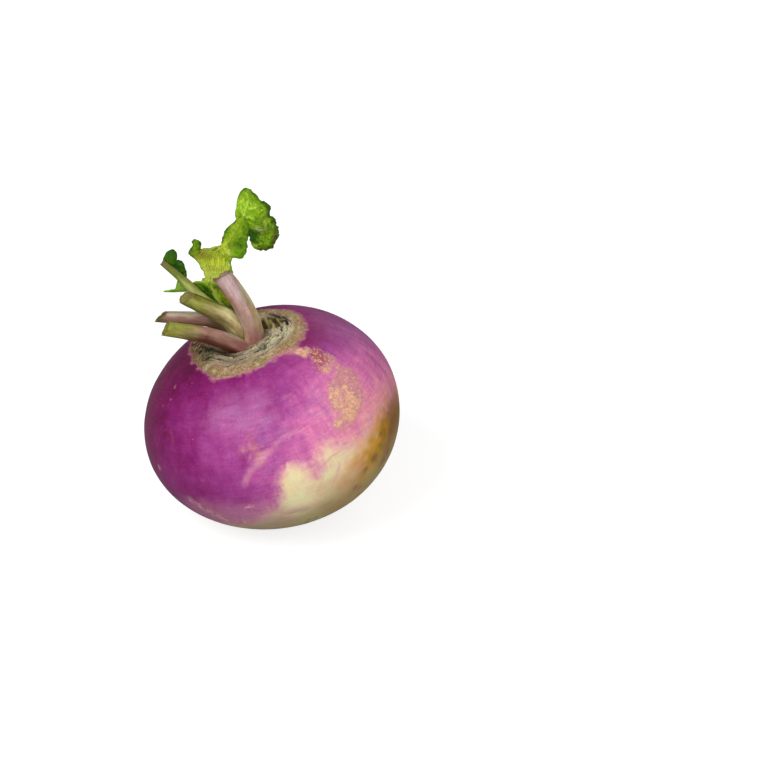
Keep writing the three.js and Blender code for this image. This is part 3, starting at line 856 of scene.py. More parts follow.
def tail_relief(points, turn):
    """Wrinkles that gather to the trimmed tail, with low rings across them."""
    across = off_axis(points, TAIL_SWAY)
    under = smooth(-30, -36, points[..., 2])
    pull = 0.24 * np.cos(TAIL_WRINKLES * turn + 2.4 * noise(points, 6, 21)) * bump(across - 4.5, 4)
    rings = 0.12 * np.cos(2 * np.pi * across / 1.7) * bump(across - 6, 5)
    return under * (pull + rings + 0.12 * fractal(points, 2, 22) * bump(across, 9))


def purple_paint(points, polar, turn, length):
    """Deep plum on the left, through orchid to pink on the right. It is mottled by soft blotches, by
    brushed streaks that run from crown to tail and by fainter rings round the girth. It is wine red close
    to the crown, and has thinned to a pale mauve low on the left."""
    degrees, below = np.degrees(turn), np.degrees(polar)
    step = THINNED_POLAR[1] - THINNED_POLAR[0]
    level = np.clip(below, THINNED_POLAR[0], THINNED_POLAR[-1])
    thin = 0
    for at, row in zip(THINNED_POLAR, THINNED):
        here = np.interp(degrees, THINNED_TURN, row, period=360)
        thin = thin + here * np.clip(1 - np.abs(level - at) / step, 0, 1)
    girth = cylinder(EQUATOR_RADIUS, turn, length)
    thin = thin + 0.07 * fractal(points, 11, 41) + 0.10 * fractal(points, 4.5, 42)
    thin = thin + 0.08 * fractal(points, 1.8, 59)
    thin = thin + 0.08 * fractal(girth / [1, 1, 5], 2.2, 60) + 0.06 * fractal(girth / [6, 6, 1], 1.5, 61)
    thin = thin - 0.08 * smooth(0.15, 0.5, fractal(girth / [1, 1, 2.5], 5, 62))
    colour = ramp(PURPLES, np.clip(thin, 0, 1))
    # painted highlight: pale lavender where the light catches the waxy skin
    bloom = near(points, PAINTED_HIGHLIGHTS, 1.0, 65) * smooth(-0.7, 0.5, fractal(girth / [4, 4, 1], 2, 66))
    colour = mixed(0.62 * bloom, colour, HIGHLIGHT_LAVENDER)
    low = smooth(92, 106, below + 5 * fractal(points, 5, 82))
    low = low * span(degrees, -146, -128, -95, -80)
    colour = mixed(0.6 * low, colour, MAUVE_PALE)
    wine = smooth(52, 30, below + 4 * fractal(points, 6, 43)) * bump((degrees + 12) / 40, 1)
    wine = np.maximum(wine, 0.7 * smooth(-140, -165, degrees) + 0.5 * smooth(40, 100, degrees))
    wine = np.clip(wine, 0, 1) * smooth(0.75, 0.4, thin)
    return mixed(0.45 * wine, colour, WINE)


def flesh_paint(points, polar, turn, past):
    """Clean cream that turns through gold and ochre to brown on the right and downwards, where the darkest
    brown at the lower right edge is partly painted shade. It blushes along the shore, and is darker
    underneath, partly a brown stain and partly painted shade, where mauve clings in patches."""
    degrees, below = np.degrees(turn), np.degrees(polar)
    # towards the lower right the flesh turns ochre and then brown; the darkest brown is partly painted shade
    browned = 0.026 * np.minimum(below - 90, 14) + 0.036 * (np.minimum(degrees, -16) + 54)
    browned = browned * span(degrees, -75, -50, 0, 70) * smooth(150, 120, below)
    browned = browned * (1 - smooth(-14, 20, degrees) * smooth(0.3, -0.2, fractal(points, 9, 83)))
    browned = browned + 0.30 * fractal(points, 5, 54) + 0.2 * fractal(points, 1.8, 48) * smooth(-60, -40, degrees)
    browned = browned + 0.14 * smooth(0.15, 0.5, fractal(points, 9, 49)) * smooth(100, 118, below)
    colour = ramp(FLESHES, np.clip(browned, 0, 1.3) / 1.3)
    # darker and browner underneath: partly a brown stain, partly painted shade
    underside_shade_and_stain = smooth(106 - 9 * smooth(-72, -62, degrees), 124, below + 5 * fractal(points, 7, 47))
    shaded = mixed(smooth(-30, 10, degrees) + smooth(-150, -170, degrees), UNDERSIDE, BELLY)
    colour = mixed(0.85 * underside_shade_and_stain, colour, shaded)
    slanted = stacked(points[..., 0] - 0.7 * points[..., 2], points[..., 1], points[..., 2] * 0.2)
    streaks = smooth(0.0, 0.5, fractal(slanted, 2.4, 46)) * bump(degrees + 60, 14) * smooth(112, 98, below)
    blush = np.maximum(smooth(4.0, 0.0, past + 1.6 * fractal(points, 3, 45)), 0.9 * streaks)
    blush = blush * (1 - 0.8 * smooth(-50, -26, degrees))
    colour = mixed(0.66 * blush, colour, BLUSH)
    pinker = smooth(-76, -66, degrees) * smooth(95, 103, below) * smooth(-38, -50, degrees)
    pinker = pinker * (0.8 + 0.5 * fractal(points, 3, 85))
    colour = mixed(pinker, colour, colour * [0.86, 0.72, 0.68])
    mauve = smooth(0.0, 0.35, fractal(points * [0.5, 1, 1], 5, 55))
    mauve = mauve * span(below, 107, 115, 126, 136)
    mauve = mauve * (1 - 0.96 * smooth(-84, -66, degrees))
    clinging = span(degrees, -150, -120, -90, -80) * smooth(130, 116, below)
    mauve = np.maximum(mauve, clinging * (0.75 + 0.5 * fractal(points, 4, 84)))
    colour = mixed(0.6 * mauve, colour, MAUVE)
    return mixed(0.7 * near(points, BRUISES, 0.7, 77), colour, BARK * 1.2)


def crown_paint(points, crown):
    """Cork in tans and olive with chalky crests, grey strands, dark cracks and pits, and olive fibres over a
    brown hollow. Pale lumps and dark holes stand at its edge. The cork on the crown's left is painted darker
    as painted shade. Round the foot of each stalk it is darkened, partly brown staining and partly painted
    shade, and below the front stalk it carries a painted shadow."""
    across = off_axis(points)
    cork = mixed(smooth(-0.3, 0.4, fractal(points, 4, 56)), CORK, CORK_OLIVE)
    cork = mixed(0.7 * smooth(0.05, 0.6, fractal(points, 1.6, 49)), cork, CORK_PALE)
    # painted shade: the cork is darker on the left of the crown
    toned = smooth(3, 14, off_axis(points, 6) - 6) * smooth(-6, -16, points[..., 0])
    cork = cork * (1 - 0.4 * toned[..., None] * [1, 1.15, 1.2])
    inside = mixed(smooth(-0.4, 0.4, crown["strands"]), CROWN_GREY * 0.58, CROWN_GREY)
    inside = mixed(0.75 * smooth(0.15, 0.6, crown["strands"]), inside, CROWN_CREST)
    ashen = smooth(0.1, 0.5, noise(points, 3.2, 67)) * smooth(16.5, 13, across)
    inside = mixed(0.4 * ashen, inside, CROWN_ASH)
    greenish = smooth(11.5, 6, across + 3 * noise(points, 4, 51))
    greenish = greenish + 0.4 * smooth(0.2, 0.7, noise(points, 3, 57))
    greenish = np.maximum(0.45 * np.clip(greenish, 0, 1), 0.6 * smooth(-7, -14, points[..., 0]))
    inside = mixed(greenish, inside, CROWN_GREEN * 1.5)
    facing = bump(np.degrees(np.arctan2(points[..., 1], points[..., 0])) + 25, 42)
    inside = inside * (1 + facing[..., None] * [0.1, 0.26, 0.2])
    colour = mixed(crown["ringed"], cork, inside)
    colour = mixed(0.9 * smooth(0.08, 0.5, crown["grooves"]), colour, FISSURE)
    colour = mixed(0.92 * smooth(0.25, 0.9, crown["pit"]), colour, FISSURE)
    rotted = mixed(smooth(-0.3, 0.5, fractal(points, 2, 58)), HOLLOW, BARK * 0.7)
    rotted = mixed(smooth(0.15, 0.75, crown["fibre"]), rotted, RIB)
    colour = mixed(smooth(0.1, 0.6, crown["hollow"]), colour, rotted)
    colour = mixed(0.8 * near(points, CORK_LUMPS, 0.5, 90), colour, CORK_PALE * 0.87)
    colour = mixed(0.85 * near(points, CORK_HOLES, 0.6, 92), colour, BARK * 0.6)
    # round the foot of each stalk: painted shade with some brown staining
    foot_stain_and_shade = 0
    for one in STALKS.values():
        low, high = np.array(one["path"][:2])
        foot = low + (0.3 - low[2]) / (high[2] - low[2]) * (high - low)
        gap = np.hypot(points[..., 0] - foot[0], points[..., 1] - foot[1]) - one["width"][0] * 0.55
        foot_stain_and_shade = np.maximum(foot_stain_and_shade, smooth(2.2, 0.3, gap + 0.8 * noise(points, 1.2, 68)))
    # painted shadow below the front stalk, in dark bark brown
    gap, _ = crown_line(points[..., :2], FRONT_STALK_SHADE)
    shade = bump(gap + 0.5 * noise(points, 1.1, 69), 1.3)
    return mixed(np.maximum(0.35 * foot_stain_and_shade, 0.9 * shade), colour, BARK * 0.45)


def past_shore(points, polar, turn):
    """Millimetres past the shore, below 0 on the purple: the distance to the nearest stretch of it on the
    unrolled skin, with a sign that flips at each stretch that lies between a place and the crown. It is
    divided by how soft the shore is there."""
    x = EQUATOR_RADIUS * turn + 1.1 * fractal(points, 4, 44) + 0.5 * noise(points, 1.3, 50)
    y = EQUATOR_RADIUS * polar + 1.5 * fractal(points, 5, 63) + 0.5 * noise(points, 1.3, 64)
    shore = np.radians(SHORE)[:, ::-1] * EQUATOR_RADIUS
    past = np.zeros(x.shape, bool)
    for (x0, y0), (x1, y1) in zip(shore[:-1], shore[1:]):
        past ^= ((x0 <= x) != (x1 <= x)) & (y > y0 + (x - x0) * (y1 - y0) / (x1 - x0))
    gap, _ = along_track(stacked(x, y), shore)
    return np.where(past, gap, -gap) / np.interp(np.degrees(turn), SHORE_SOFT_TURN, SHORE_SOFT, period=360)


def settle(points):
    """Points below the surface that the root stands on are pressed up to it, with a soft edge to the
    flat."""
    height = points[..., 2]
    points[..., 2] = (height + np.hypot(height, SETTLE_SOFT)) / 2
    return points


def root():
    """The skin from the crown to the tail, on one grid: relief along its normals, the purple and the flesh
    colour apart with rubs, scratches and cork over both, and fields for the finish."""
    grid, polar, turn, length = root_grid()
    crown = crown_fields(grid, turn)
    russet = near(grid, RUSSET, 0.7)
    body = 0.22 * fractal(grid, 22, 31) + 0.05 * fractal(grid, 4, 32)
    relief = crown["relief"] + tail_relief(grid, turn) + body + 0.15 * russet * fractal(grid, 2, 33)
    past = past_shore(grid, polar, turn)
    purple, flesh = purple_paint(grid, polar, turn, length), flesh_paint(grid, polar, turn, past)

    rub = mixed(smooth(90, 98, np.degrees(polar)), RUB, PEELED)
    rubbed = near(grid, RUBBED, 0.8) * smooth(-0.5, 0.3, fractal(grid, 1.2, 34))
    rubbed = rubbed * (1 - smooth(90, 98, np.degrees(polar)) * smooth(0.15, -0.15, fractal(grid, 1.3, 88)))
    purple = mixed(0.75 * rubbed, purple, rub)
    flesh = mixed(0.5 * rubbed, flesh, BARK * 2.6)
    for places, half, strength in SCRATCHES:
        purple = mixed(0.42 * strength * near_path(grid, places, half), purple, PALE_RUB)
    for places, half, strength in RUST_LINES:
        rust = strength * near_path(grid, places, half)
        purple, flesh = mixed(rust, purple, RUST), mixed(rust, flesh, RUST * 1.6)
    scar = bump(off_axis(grid, TAIL_SWAY), 3.4) * smooth(-30, -36, grid[..., 2])
    flesh = mixed(0.8 * scar, flesh, CORK)
    purple = mixed(0.6 * crown["fringe"], purple, FRINGE)
    dry = crown_paint(grid, crown)
    purple, flesh = mixed(crown["cork"], purple, dry), mixed(crown["cork"], flesh, dry)

    placed = settle(leaned(grid + relief[..., None] * outward(grid)))
    cork = crown["cork"] * (1 - 0.7 * crown["hollow"])
    solid = near(grid, SOLID_RUSSET, 0.7, 78) - near(grid, THIN_RUSSET, 0.7, 79)
    girth = cylinder(EQUATOR_RADIUS, turn, length)
    piece = Piece("turnip_root")
    fields = dict(past=past, cork=cork, russet=russet, solid=solid, girth=girth)
    piece.add(placed, paint=purple, flesh=flesh, **fields)
    return piece.build(skin_finish(), "root_skin", "root")


# ---- Stalks ----

STALK_COLUMNS = 80
STALK_ROWS = 170
STALK_RIBS = 11

# The cut end, from its outer edge inwards: share of the section's width, and how far it stands past the cut
# in millimetres. The rim has dried proud of the pith.
CUT = [
    (1.0, 0.0), (1.0, 0.14), (0.97, 0.26), (0.92, 0.24), (0.85, 0.0), (0.74, -0.4), (0.52, -0.6),
    (0.2, -0.7),
]

ROSE_PALE = rgb(0.6, 0.43, 0.425)
ROSE = rgb(0.5, 0.31, 0.275)
ROSE_DULL = rgb(0.36, 0.2, 0.15)
ROSE_BROWN = rgb(0.27, 0.135, 0.09)
MAROON = rgb(0.11, 0.026, 0.016)
# painted shade on the front stalk's underside
MAROON_SHADE = rgb(0.05, 0.012, 0.008)
OLIVE = rgb(0.27, 0.28, 0.045)
OLIVE_DARK = rgb(0.1, 0.1, 0.012)
OLIVE_BROWN = rgb(0.2, 0.155, 0.05)
MOSS = rgb(0.27, 0.34, 0.022)
STRAW = rgb(0.72, 0.66, 0.32)
SAND = rgb(0.5, 0.37, 0.19)
TAN_GREEN = rgb(0.34, 0.28, 0.1)
SPRING = rgb(0.42, 0.5, 0.07)
LILAC_PALE = rgb(0.54, 0.39, 0.395)
STRAW_DULL = rgb(0.5, 0.44, 0.2)
LEEK = rgb(0.46, 0.53, 0.14)
OLIVE_DEEP = rgb(0.16, 0.205, 0.02)
GREY_TAN = rgb(0.43, 0.37, 0.26)
ROSE_TAN = rgb(0.54, 0.35, 0.22)
TAN_ROSE = rgb(0.38, 0.24, 0.18)
ROSE_DEEP = rgb(0.3, 0.12, 0.105)
GREY_ROSE = rgb(0.55, 0.45, 0.35)

# Paths are in millimetres from the crown's centre. Width and depth are at the base and at the tip, and faces
# is the way the channelled side looks. Slant and round shape the cut, torn is how ragged it is, and pith and
# rim are its colours. Sides gives the colours from base to tip at some turns of the section, where 90 degrees
# is the channelled side.
USUAL_STALK = dict(flare=0.1, taper=1.0, torn=1.0, round=0.0)
STALKS = {
    "stalk_upright": dict(
        path=[[4.4, -1.6, -2.5], [3.3, -1.3, 6.2], [-0.2, -0.1, 14.8], [-4.3, 1.5, 20.9], [-8.0, 3.2, 24.8]],
        width=(8.6, 6.8), depth=(7.0, 7.5), faces=(-0.9, 0.2, 0.4), channel=0.2, slant=0.12, flare=0.16,
        seed=1, pith=ROSE_PALE, rim=OLIVE_BROWN, torn=1.7, round=0.08,
        sides={
            90: [OLIVE_BROWN, TAN_GREEN, SAND, SAND, OLIVE_BROWN, OLIVE_BROWN, OLIVE_BROWN],
            140: [ROSE_TAN, ROSE_TAN, GREY_ROSE, ROSE, ROSE_DULL, ROSE_DULL, ROSE_PALE],
            185: [ROSE_DEEP, ROSE_DEEP, TAN_ROSE, TAN_ROSE, ROSE, LILAC_PALE, LILAC_PALE],
            215: [ROSE_DEEP, ROSE_DEEP, TAN_ROSE, ROSE, LILAC_PALE, LILAC_PALE, LILAC_PALE],
            245: [ROSE_DEEP, ROSE_DULL, SAND, SAND, GREY_TAN, ROSE, LILAC_PALE],
            280: [ROSE_BROWN, ROSE_DULL, STRAW, STRAW, STRAW, GREY_ROSE, ROSE_PALE],
            0: [OLIVE_BROWN, ROSE_DULL, SAND, SAND, ROSE],
        },
    ),
    "stalk_front": dict(
        path=[[1.2, -4.2, -3.6], [-5.1, -6.6, 2.6], [-13, -8.2, 6.5], [-26.6, -9.8, 10.0]],
        width=(7.6, 5.8), depth=(7.2, 5.9), faces=(0.1, 0.5, 0.9), channel=0.2, slant=-0.3, flare=0.12,
        seed=2, pith=MOSS, rim=MOSS,
        # The front of its upper side (turns 50 and 75) is painted pale as a painted highlight, and its
        # underside (turns 270 to 345) dark maroon, painted shade over its own maroon.
        sides={
            345: [
                MAROON, ROSE_DEEP, ROSE_DEEP, ROSE_BROWN, ROSE_BROWN, MAROON, OLIVE_BROWN, OLIVE_BROWN,
                OLIVE, MOSS,
            ],
            15: [
                ROSE_DEEP, ROSE_DEEP, ROSE_DEEP, ROSE_BROWN, ROSE_DULL, ROSE_DULL, ROSE_DULL, TAN_GREEN,
                OLIVE, OLIVE, OLIVE,
            ],
            50: [
                ROSE_BROWN, ROSE, GREY_ROSE, GREY_ROSE, ROSE, ROSE_DULL, ROSE_DULL, TAN_GREEN,
                OLIVE, OLIVE, MOSS,
            ],
            75: [ROSE_BROWN, SAND, SAND, GREY_ROSE, ROSE_DULL, TAN_GREEN, TAN_GREEN, OLIVE, OLIVE, MOSS],
            98: [OLIVE_DARK, OLIVE_DARK, OLIVE_DARK, OLIVE_DARK, OLIVE_BROWN, MOSS, OLIVE],
            150: [MAROON, MAROON, OLIVE_DARK, OLIVE_DARK, OLIVE],
            270: [MAROON_SHADE, MAROON_SHADE, MAROON, MAROON, MAROON, OLIVE_DARK, OLIVE_DARK, OLIVE_DARK],
            312: [MAROON_SHADE, MAROON_SHADE, MAROON, MAROON, MAROON, MAROON, OLIVE_BROWN, OLIVE, OLIVE],
        },
    ),
    "stalk_middle": dict(
        path=[[1.2, 1.4, -3], [-4.1, -0.5, 7.5], [-10.5, -2.1, 12.9], [-19.7, -3.0, 18.5]],
        width=(8.6, 5.4), depth=(8.0, 5.2), faces=(0.5, -0.3, 0.8), channel=0.1, slant=-0.5,
        seed=3, pith=OLIVE, rim=OLIVE,
        sides={
            0: [OLIVE_BROWN, STRAW_DULL, STRAW_DULL, TAN_GREEN, OLIVE_BROWN, OLIVE_DEEP, OLIVE_DEEP],
            18: [OLIVE_DARK, OLIVE_BROWN, TAN_GREEN, OLIVE_BROWN, OLIVE_BROWN, OLIVE, OLIVE],
            42: [OLIVE_BROWN, TAN_GREEN, SAND, STRAW_DULL, TAN_GREEN, OLIVE, OLIVE],
            65: [OLIVE_BROWN, SAND, STRAW, STRAW, STRAW_DULL, OLIVE, OLIVE],
            95: [OLIVE_DARK, TAN_GREEN, STRAW, STRAW, OLIVE, OLIVE, OLIVE_DARK],
            130: [OLIVE_DARK],
            220: [OLIVE_DARK],
            320: [OLIVE_BROWN, STRAW_DULL, STRAW_DULL, TAN_GREEN, OLIVE_BROWN, OLIVE_DARK, OLIVE_DARK],
        },
    ),
    "stalk_rear": dict(
        path=[[-1.5, 4.6, -3], [-8, 4.9, 3.4], [-15.9, 4.7, 5.6], [-30.0, 4.1, 6.8]],
        width=(6.4, 5.0), depth=(6.2, 4.4), faces=(0.2, 0.2, 0.9), channel=0.3, slant=-1.0,
        seed=4, pith=OLIVE_DARK, rim=OLIVE_BROWN,
        sides={
            0: [MAROON, ROSE_BROWN, OLIVE_BROWN, ROSE_DULL, ROSE_DULL, ROSE_DULL, ROSE_DULL],
            45: [ROSE_BROWN, ROSE_BROWN, ROSE_DULL, ROSE, GREY_ROSE, GREY_ROSE, GREY_ROSE],
            90: [ROSE_BROWN, ROSE_BROWN, ROSE_DULL, GREY_TAN, GREY_TAN, GREY_TAN, GREY_TAN],
            180: [MAROON, MAROON, OLIVE_BROWN, OLIVE_DARK],
            290: [MAROON, MAROON, MAROON, ROSE_BROWN, ROSE_BROWN, OLIVE_DARK],
        },
    ),
    "side_leaf_stalk": dict(
        path=[
            [-2.2, 8.2, -2.5], [-8.1, 7.7, 5.6], [-14.4, 8.1, 11.3], [-21.7, 10.1, 18.4], [-29.1, 11.7, 24.8],
        ],
        width=(5.6, 2.3), depth=(5.2, 1.9), faces=(0.5, -0.6, 0.6), channel=0.2, slant=0.0,
        seed=5, pith=OLIVE_BROWN, rim=OLIVE_BROWN,
        sides={
            20: [OLIVE_BROWN, TAN_GREEN, LEEK, LEEK, LEEK, OLIVE_DEEP, OLIVE_DEEP],
            70: [SAND, STRAW, STRAW, LEEK, LEEK, OLIVE_DEEP, OLIVE_DEEP],
            110: [SAND, STRAW, LEEK, LEEK, OLIVE, OLIVE_DEEP, OLIVE_BROWN],
            200: [OLIVE_DARK],
            320: [OLIVE_DARK, TAN_GREEN, LEEK, LEEK, LEEK, OLIVE, OLIVE_DEEP],
        },
    ),
    "young_leaf_stalk": dict(
        path=[[1.6, 9, -2.5], [-4.8, 8.8, 5], [-8.8, 9.3, 9.6], [-12.4, 11.0, 16.8]],
        width=(4.6, 0.9), depth=(3.2, 0.9), faces=(0, -0.9, 0.3), channel=0.25, slant=0.0,
        taper=0.55, seed=6, pith=SPRING, rim=SPRING,
        sides={
            90: [OLIVE, SPRING, SPRING, SPRING], 200: [OLIVE_DARK, OLIVE, OLIVE],
            340: [OLIVE_DARK, OLIVE, OLIVE, SPRING],
        },
    ),
}


def wrapped(sides, degrees, share):
    """A colour from ramps along the length that stand at some turns round the section, blended from each
    turn to the next."""
    turns = sorted(sides)
    ramps = [ramp(sides[t], share) for t in turns]
    total = 0
    for k, t in enumerate(turns):
        before, after = turns[k - 1], turns[(k + 1) % len(turns)]
        gap = (degrees - t + 180) % 360 - 180
        rise, fall = (t - before) % 360, (after - t) % 360
        weight = np.clip(np.where(gap < 0, 1 + gap / rise, 1 - gap / fall), 0, 1)
        total = total + (weight * weight * (3 - 2 * weight))[..., None] * ramps[k]
    return total


def sweep(path, faces, rows):
    """Centres along a smooth path at equal lengths, with the side and upward directions of the section
    there."""
    fine = spline(path, 2000)
    length = np.concatenate([[0], np.cumsum(np.linalg.norm(np.diff(fine, axis=0), axis=1))])
    picked = np.linspace(0, length[-1], rows)
    centres = np.stack([np.interp(picked, length, fine[:, k]) for k in range(3)], -1)
    along = unit(np.gradient(centres, axis=0))
    faces = np.asarray(faces, float)
    up = unit(faces - np.sum(along * faces, axis=-1, keepdims=True) * along)
    return centres, along, up, np.cross(up, along), length[-1]


def stalk(name, finish):
    """A section carried along a path: an ellipse with a channel on its upper side, shallow ribs, and a
    flare at the base. The cut end is slanted, has a discoloured and dried rim, and a sunken pith."""
    s = {**USUAL_STALK, **STALKS[name]}
    seed = s["seed"]
    centres, along, up, side, length = sweep(s["path"], s["faces"], STALK_ROWS)
    share = np.linspace(0, 1, STALK_ROWS)[:, None]
    turn = np.linspace(0, 2 * np.pi, STALK_COLUMNS, endpoint=False)[None, :]
    across, over = np.cos(turn), np.sin(turn)
    flare = 1 + s["flare"] * bump(share, 0.12)
    half_width = blend(share ** s["taper"], *s["width"]) / 2 * flare
    half_depth = blend(share ** s["taper"], *s["depth"]) / 2 * flare
    hollow = s["channel"] * bump(across, 0.5) * smooth(0, 0.5, over)
    around = stacked(across, over, share * length / 3)
    ribs = 0.014 * np.cos(STALK_RIBS * turn + 3 * noise(around, 2.2, seed)) * smooth(0.05, 0.3, share)
    uneven = 0.05 * fractal(around, 1.3, seed + 10) + ribs
    u = across * (1 + uneven) * half_width
    v = (over * (1 + uneven) - hollow) * half_depth
    lean_out = (s["slant"] * v - s["round"] * (u**2 + v**2)) * share**6
    rings = (
        centres[:, None] + u[..., None] * side[:, None] + v[..., None] * up[:, None]
        + lean_out[..., None] * along[:, None]
    )
    torn = stacked(across[0], over[0], 0)
    ragged = s["torn"] * (0.35 * noise(torn, 0.5, seed + 20) + 0.2 * noise(torn, 0.2, seed + 21))
    middle = rings[-1].mean(axis=0)
    scale, proud = np.array(CUT).T[:, :, None, None]
    cut = middle + scale * (rings[-1] - middle) + (proud + ragged[:, None] * scale) * along[-1]
    rings[-1] += ragged[:, None] * along[-1]
    rings = np.concatenate([rings, cut[1:]])

    paint = wrapped(s["sides"], np.degrees(turn) + 14 * fractal(around, 1.4, seed + 40), share)
    freckles = smooth(0.5, 0.75, noise(around, 0.13, seed + 50))
    freckles = freckles * smooth(0.1, 0.4, noise(around, 0.8, seed + 51))
    paint = mixed(0.5 * freckles, paint, paint * [0.5, 0.42, 0.35])
    rim = smooth(length - 1.8, length - 0.6, share * length + 0.6 * noise(around, 0.6, seed + 31))
    paint = mixed(0.8 * rim, paint, s["rim"])
    inward = scale[1:, 0] + 0 * turn
    pith = mixed(smooth(0.96, 0.74, inward), paint[-1], s["pith"])
    dry = 0.8 * smooth(0.97, 1.0, share + 0.02 * noise(around, 0.35, seed + 30))
    dry = np.concatenate([dry, 0.2 + 0.75 * smooth(0.74, 0.95, inward)])
    reach = np.concatenate([share[:, 0] * length, length + np.zeros(len(CUT) - 1)])[:, None]
    paint, grain = np.concatenate([paint, pith]), stacked(3 * across, 3 * over, reach)
    piece = Piece(name + "_flesh")
    piece.add(rings + CROWN_CENTRE, paint=paint, dry=np.clip(dry, 0, 1), grain=grain)
    return piece.build(finish, "stalk_skin", name)


# ---- Leaves ----

# The leaves' plane: which way right, up and forward are, and where it starts
LEAF_RIGHT = [1, 0, 0]
LEAF_UP = [0, np.sin(LEAF_LEAN), np.cos(LEAF_LEAN)]
LEAF_FORWARD = [0, -np.cos(LEAF_LEAN), np.sin(LEAF_LEAN)]
LEAF_FRAME = np.array([LEAF_RIGHT, LEAF_UP, LEAF_FORWARD])
LEAF_START = CROWN_CENTRE + [0, LEAF_SETBACK, 0]
ASKEW = short_turn(unit(np.array([0.62, 0.45, 0.64])))  # turns a lattice away from the leaves' own axes

LIME = rgb(0.7, 0.82, 0.075)
LIME_BRIGHT = rgb(0.82, 0.92, 0.08)
LIME_PALE = rgb(0.7, 0.74, 0.16)
LEAF_LIGHT = rgb(0.44, 0.7, 0.03)
LEAF_SAGE = rgb(0.27, 0.42, 0.06)
LEAF_MID = rgb(0.19, 0.37, 0.006)
LEAF_DARK = rgb(0.045, 0.125, 0.003)
LEAF_BOTTLE = rgb(0.018, 0.085, 0.004)
LEAF_OLIVE_LIME = rgb(0.4, 0.5, 0.03)
LEAF_OLIVE = rgb(0.3, 0.33, 0.02)
LEAF_BROWN = rgb(0.2, 0.12, 0.03)

VEIN_PALE = rgb(0.62, 0.84, 0.11)
VEIN_TAN = rgb(0.35, 0.41, 0.13)
MID_RIB_RUST = rgb(0.4, 0.28, 0.06)
FOLD_HIGHLIGHT = rgb(0.42, 0.4, 0.22)

RUST_SPOT = (-15.2, 28.0)  # where the fan has browned, [right, up]
PLEAT_COUNT = 8  # from the fan's middle to its edge
END_STEPS = (260, 80)
END_RIDGES, END_VEINS = 22, 30  # how many fan out over the end lobe, in its relief and in its colour

# Strokes that show on the leaves: colour, strength, half width, then where they run, [right, up] in the
# leaves' plane.
END_STROKES = [
    (LEAF_MID, 0.5, 1.0, (0.2, 51.3), (1.6, 51.8), (2.8, 50.6)),  # darker tip and right side
    (LEAF_MID, 0.4, 0.9, (3.0, 49.6), (5.0, 48.4)),
    (LEAF_MID, 0.6, 0.6, (-1.3, 43.4), (-0.7, 41.2)),
    (VEIN_PALE, 0.75, 0.34, (0.3, 41.8), (1.1, 43.8), (1.9, 45.8), (2.2, 47.3)),  # pale veins from the neck
    (VEIN_PALE, 0.6, 0.26, (0.2, 43.0), (-0.3, 45.5), (-0.2, 47.5)),
    (VEIN_PALE, 0.45, 0.24, (2.2, 47.3), (2.3, 49.0), (1.9, 50.5)),
    (VEIN_PALE, 0.4, 0.2, (0.7, 43.4), (0.8, 46.5), (0.6, 48.8)),
    (VEIN_PALE, 0.45, 0.45, (1.2, 41.6), (2.9, 42.2), (4.3, 41.5)),
    (LEAF_LIGHT, 0.5, 0.35, (1.5, 40.4), (2.8, 39.8), (4.5, 39.1), (5.6, 38.9)),
    (VEIN_PALE, 0.55, 0.4, (2.6, 45.2), (5.2, 45.4)),
    (VEIN_PALE, 0.5, 0.15, (3.5, 45.0), (3.3, 47.4)),
    (VEIN_PALE, 0.5, 0.15, (4.2, 45.0), (4.2, 47.4)),
    (VEIN_PALE, 0.5, 0.15, (4.9, 45.0), (5.0, 46.9)),
    (LEAF_MID, 0.75, 0.42, (2.5, 44.3), (3.6, 44.4), (4.8, 44.2)),  # dark hollows between them
    (LEAF_MID, 0.6, 0.36, (3.5, 43.8), (4.2, 43.0)),
    (LEAF_DARK, 0.5, 0.25, (1.4, 40.6), (2.5, 41.0), (3.9, 40.5), (5.0, 40.0)),
    (LEAF_LIGHT, 0.5, 0.5, (6.2, 43.3), (7.0, 44.2)),
    (LEAF_BROWN, 0.6, 0.2, (8.3, 43.0), (7.5, 40.7), (6.9, 38.6)),  # the crumpled half
    (VEIN_TAN, 0.4, 0.35, (8.4, 41.0), (8.5, 39.2), (8.5, 37.6)),
    (LEAF_LIGHT, 0.4, 0.25, (9.3, 42.2), (10.0, 40.6), (10.3, 39.2)),
    (LEAF_LIGHT, 0.5, 0.25, (6.6, 35.2), (7.3, 35.8), (8.0, 34.9), (7.4, 34.0), (6.7, 34.6)),
    (LEAF_LIGHT, 0.4, 0.3, (8.6, 34.2), (9.3, 33.6), (9.4, 32.6)),
    (LEAF_LIGHT, 0.4, 0.5, (4.2, 31.8), (5.2, 32.1)),
    # painted highlight along the edge of the fold, and painted shade below it
    (VEIN_TAN, 0.85, 0.36, (5.4, 38.4), (6.3, 38.7), (7.0, 38.5)),
    (LEAF_BROWN, 0.5, 0.5, (5.2, 37.3), (6.4, 36.9), (7.7, 37.3), (8.7, 36.5)),
    (LEAF_DARK, 0.7, 0.3, (5.2, 37.2), (6.4, 36.8), (7.4, 37.1)),
    (LEAF_BROWN, 0.6, 0.5, (11.2, 37.2), (11.9, 35.6), (11.0, 33.8)),
    # the dark edge
    (LEAF_DARK, 0.75, 0.45, (7.6, 47.2), (9.0, 46.6), (9.9, 45.0), (10.5, 42.8), (11.5, 41.2)),
]
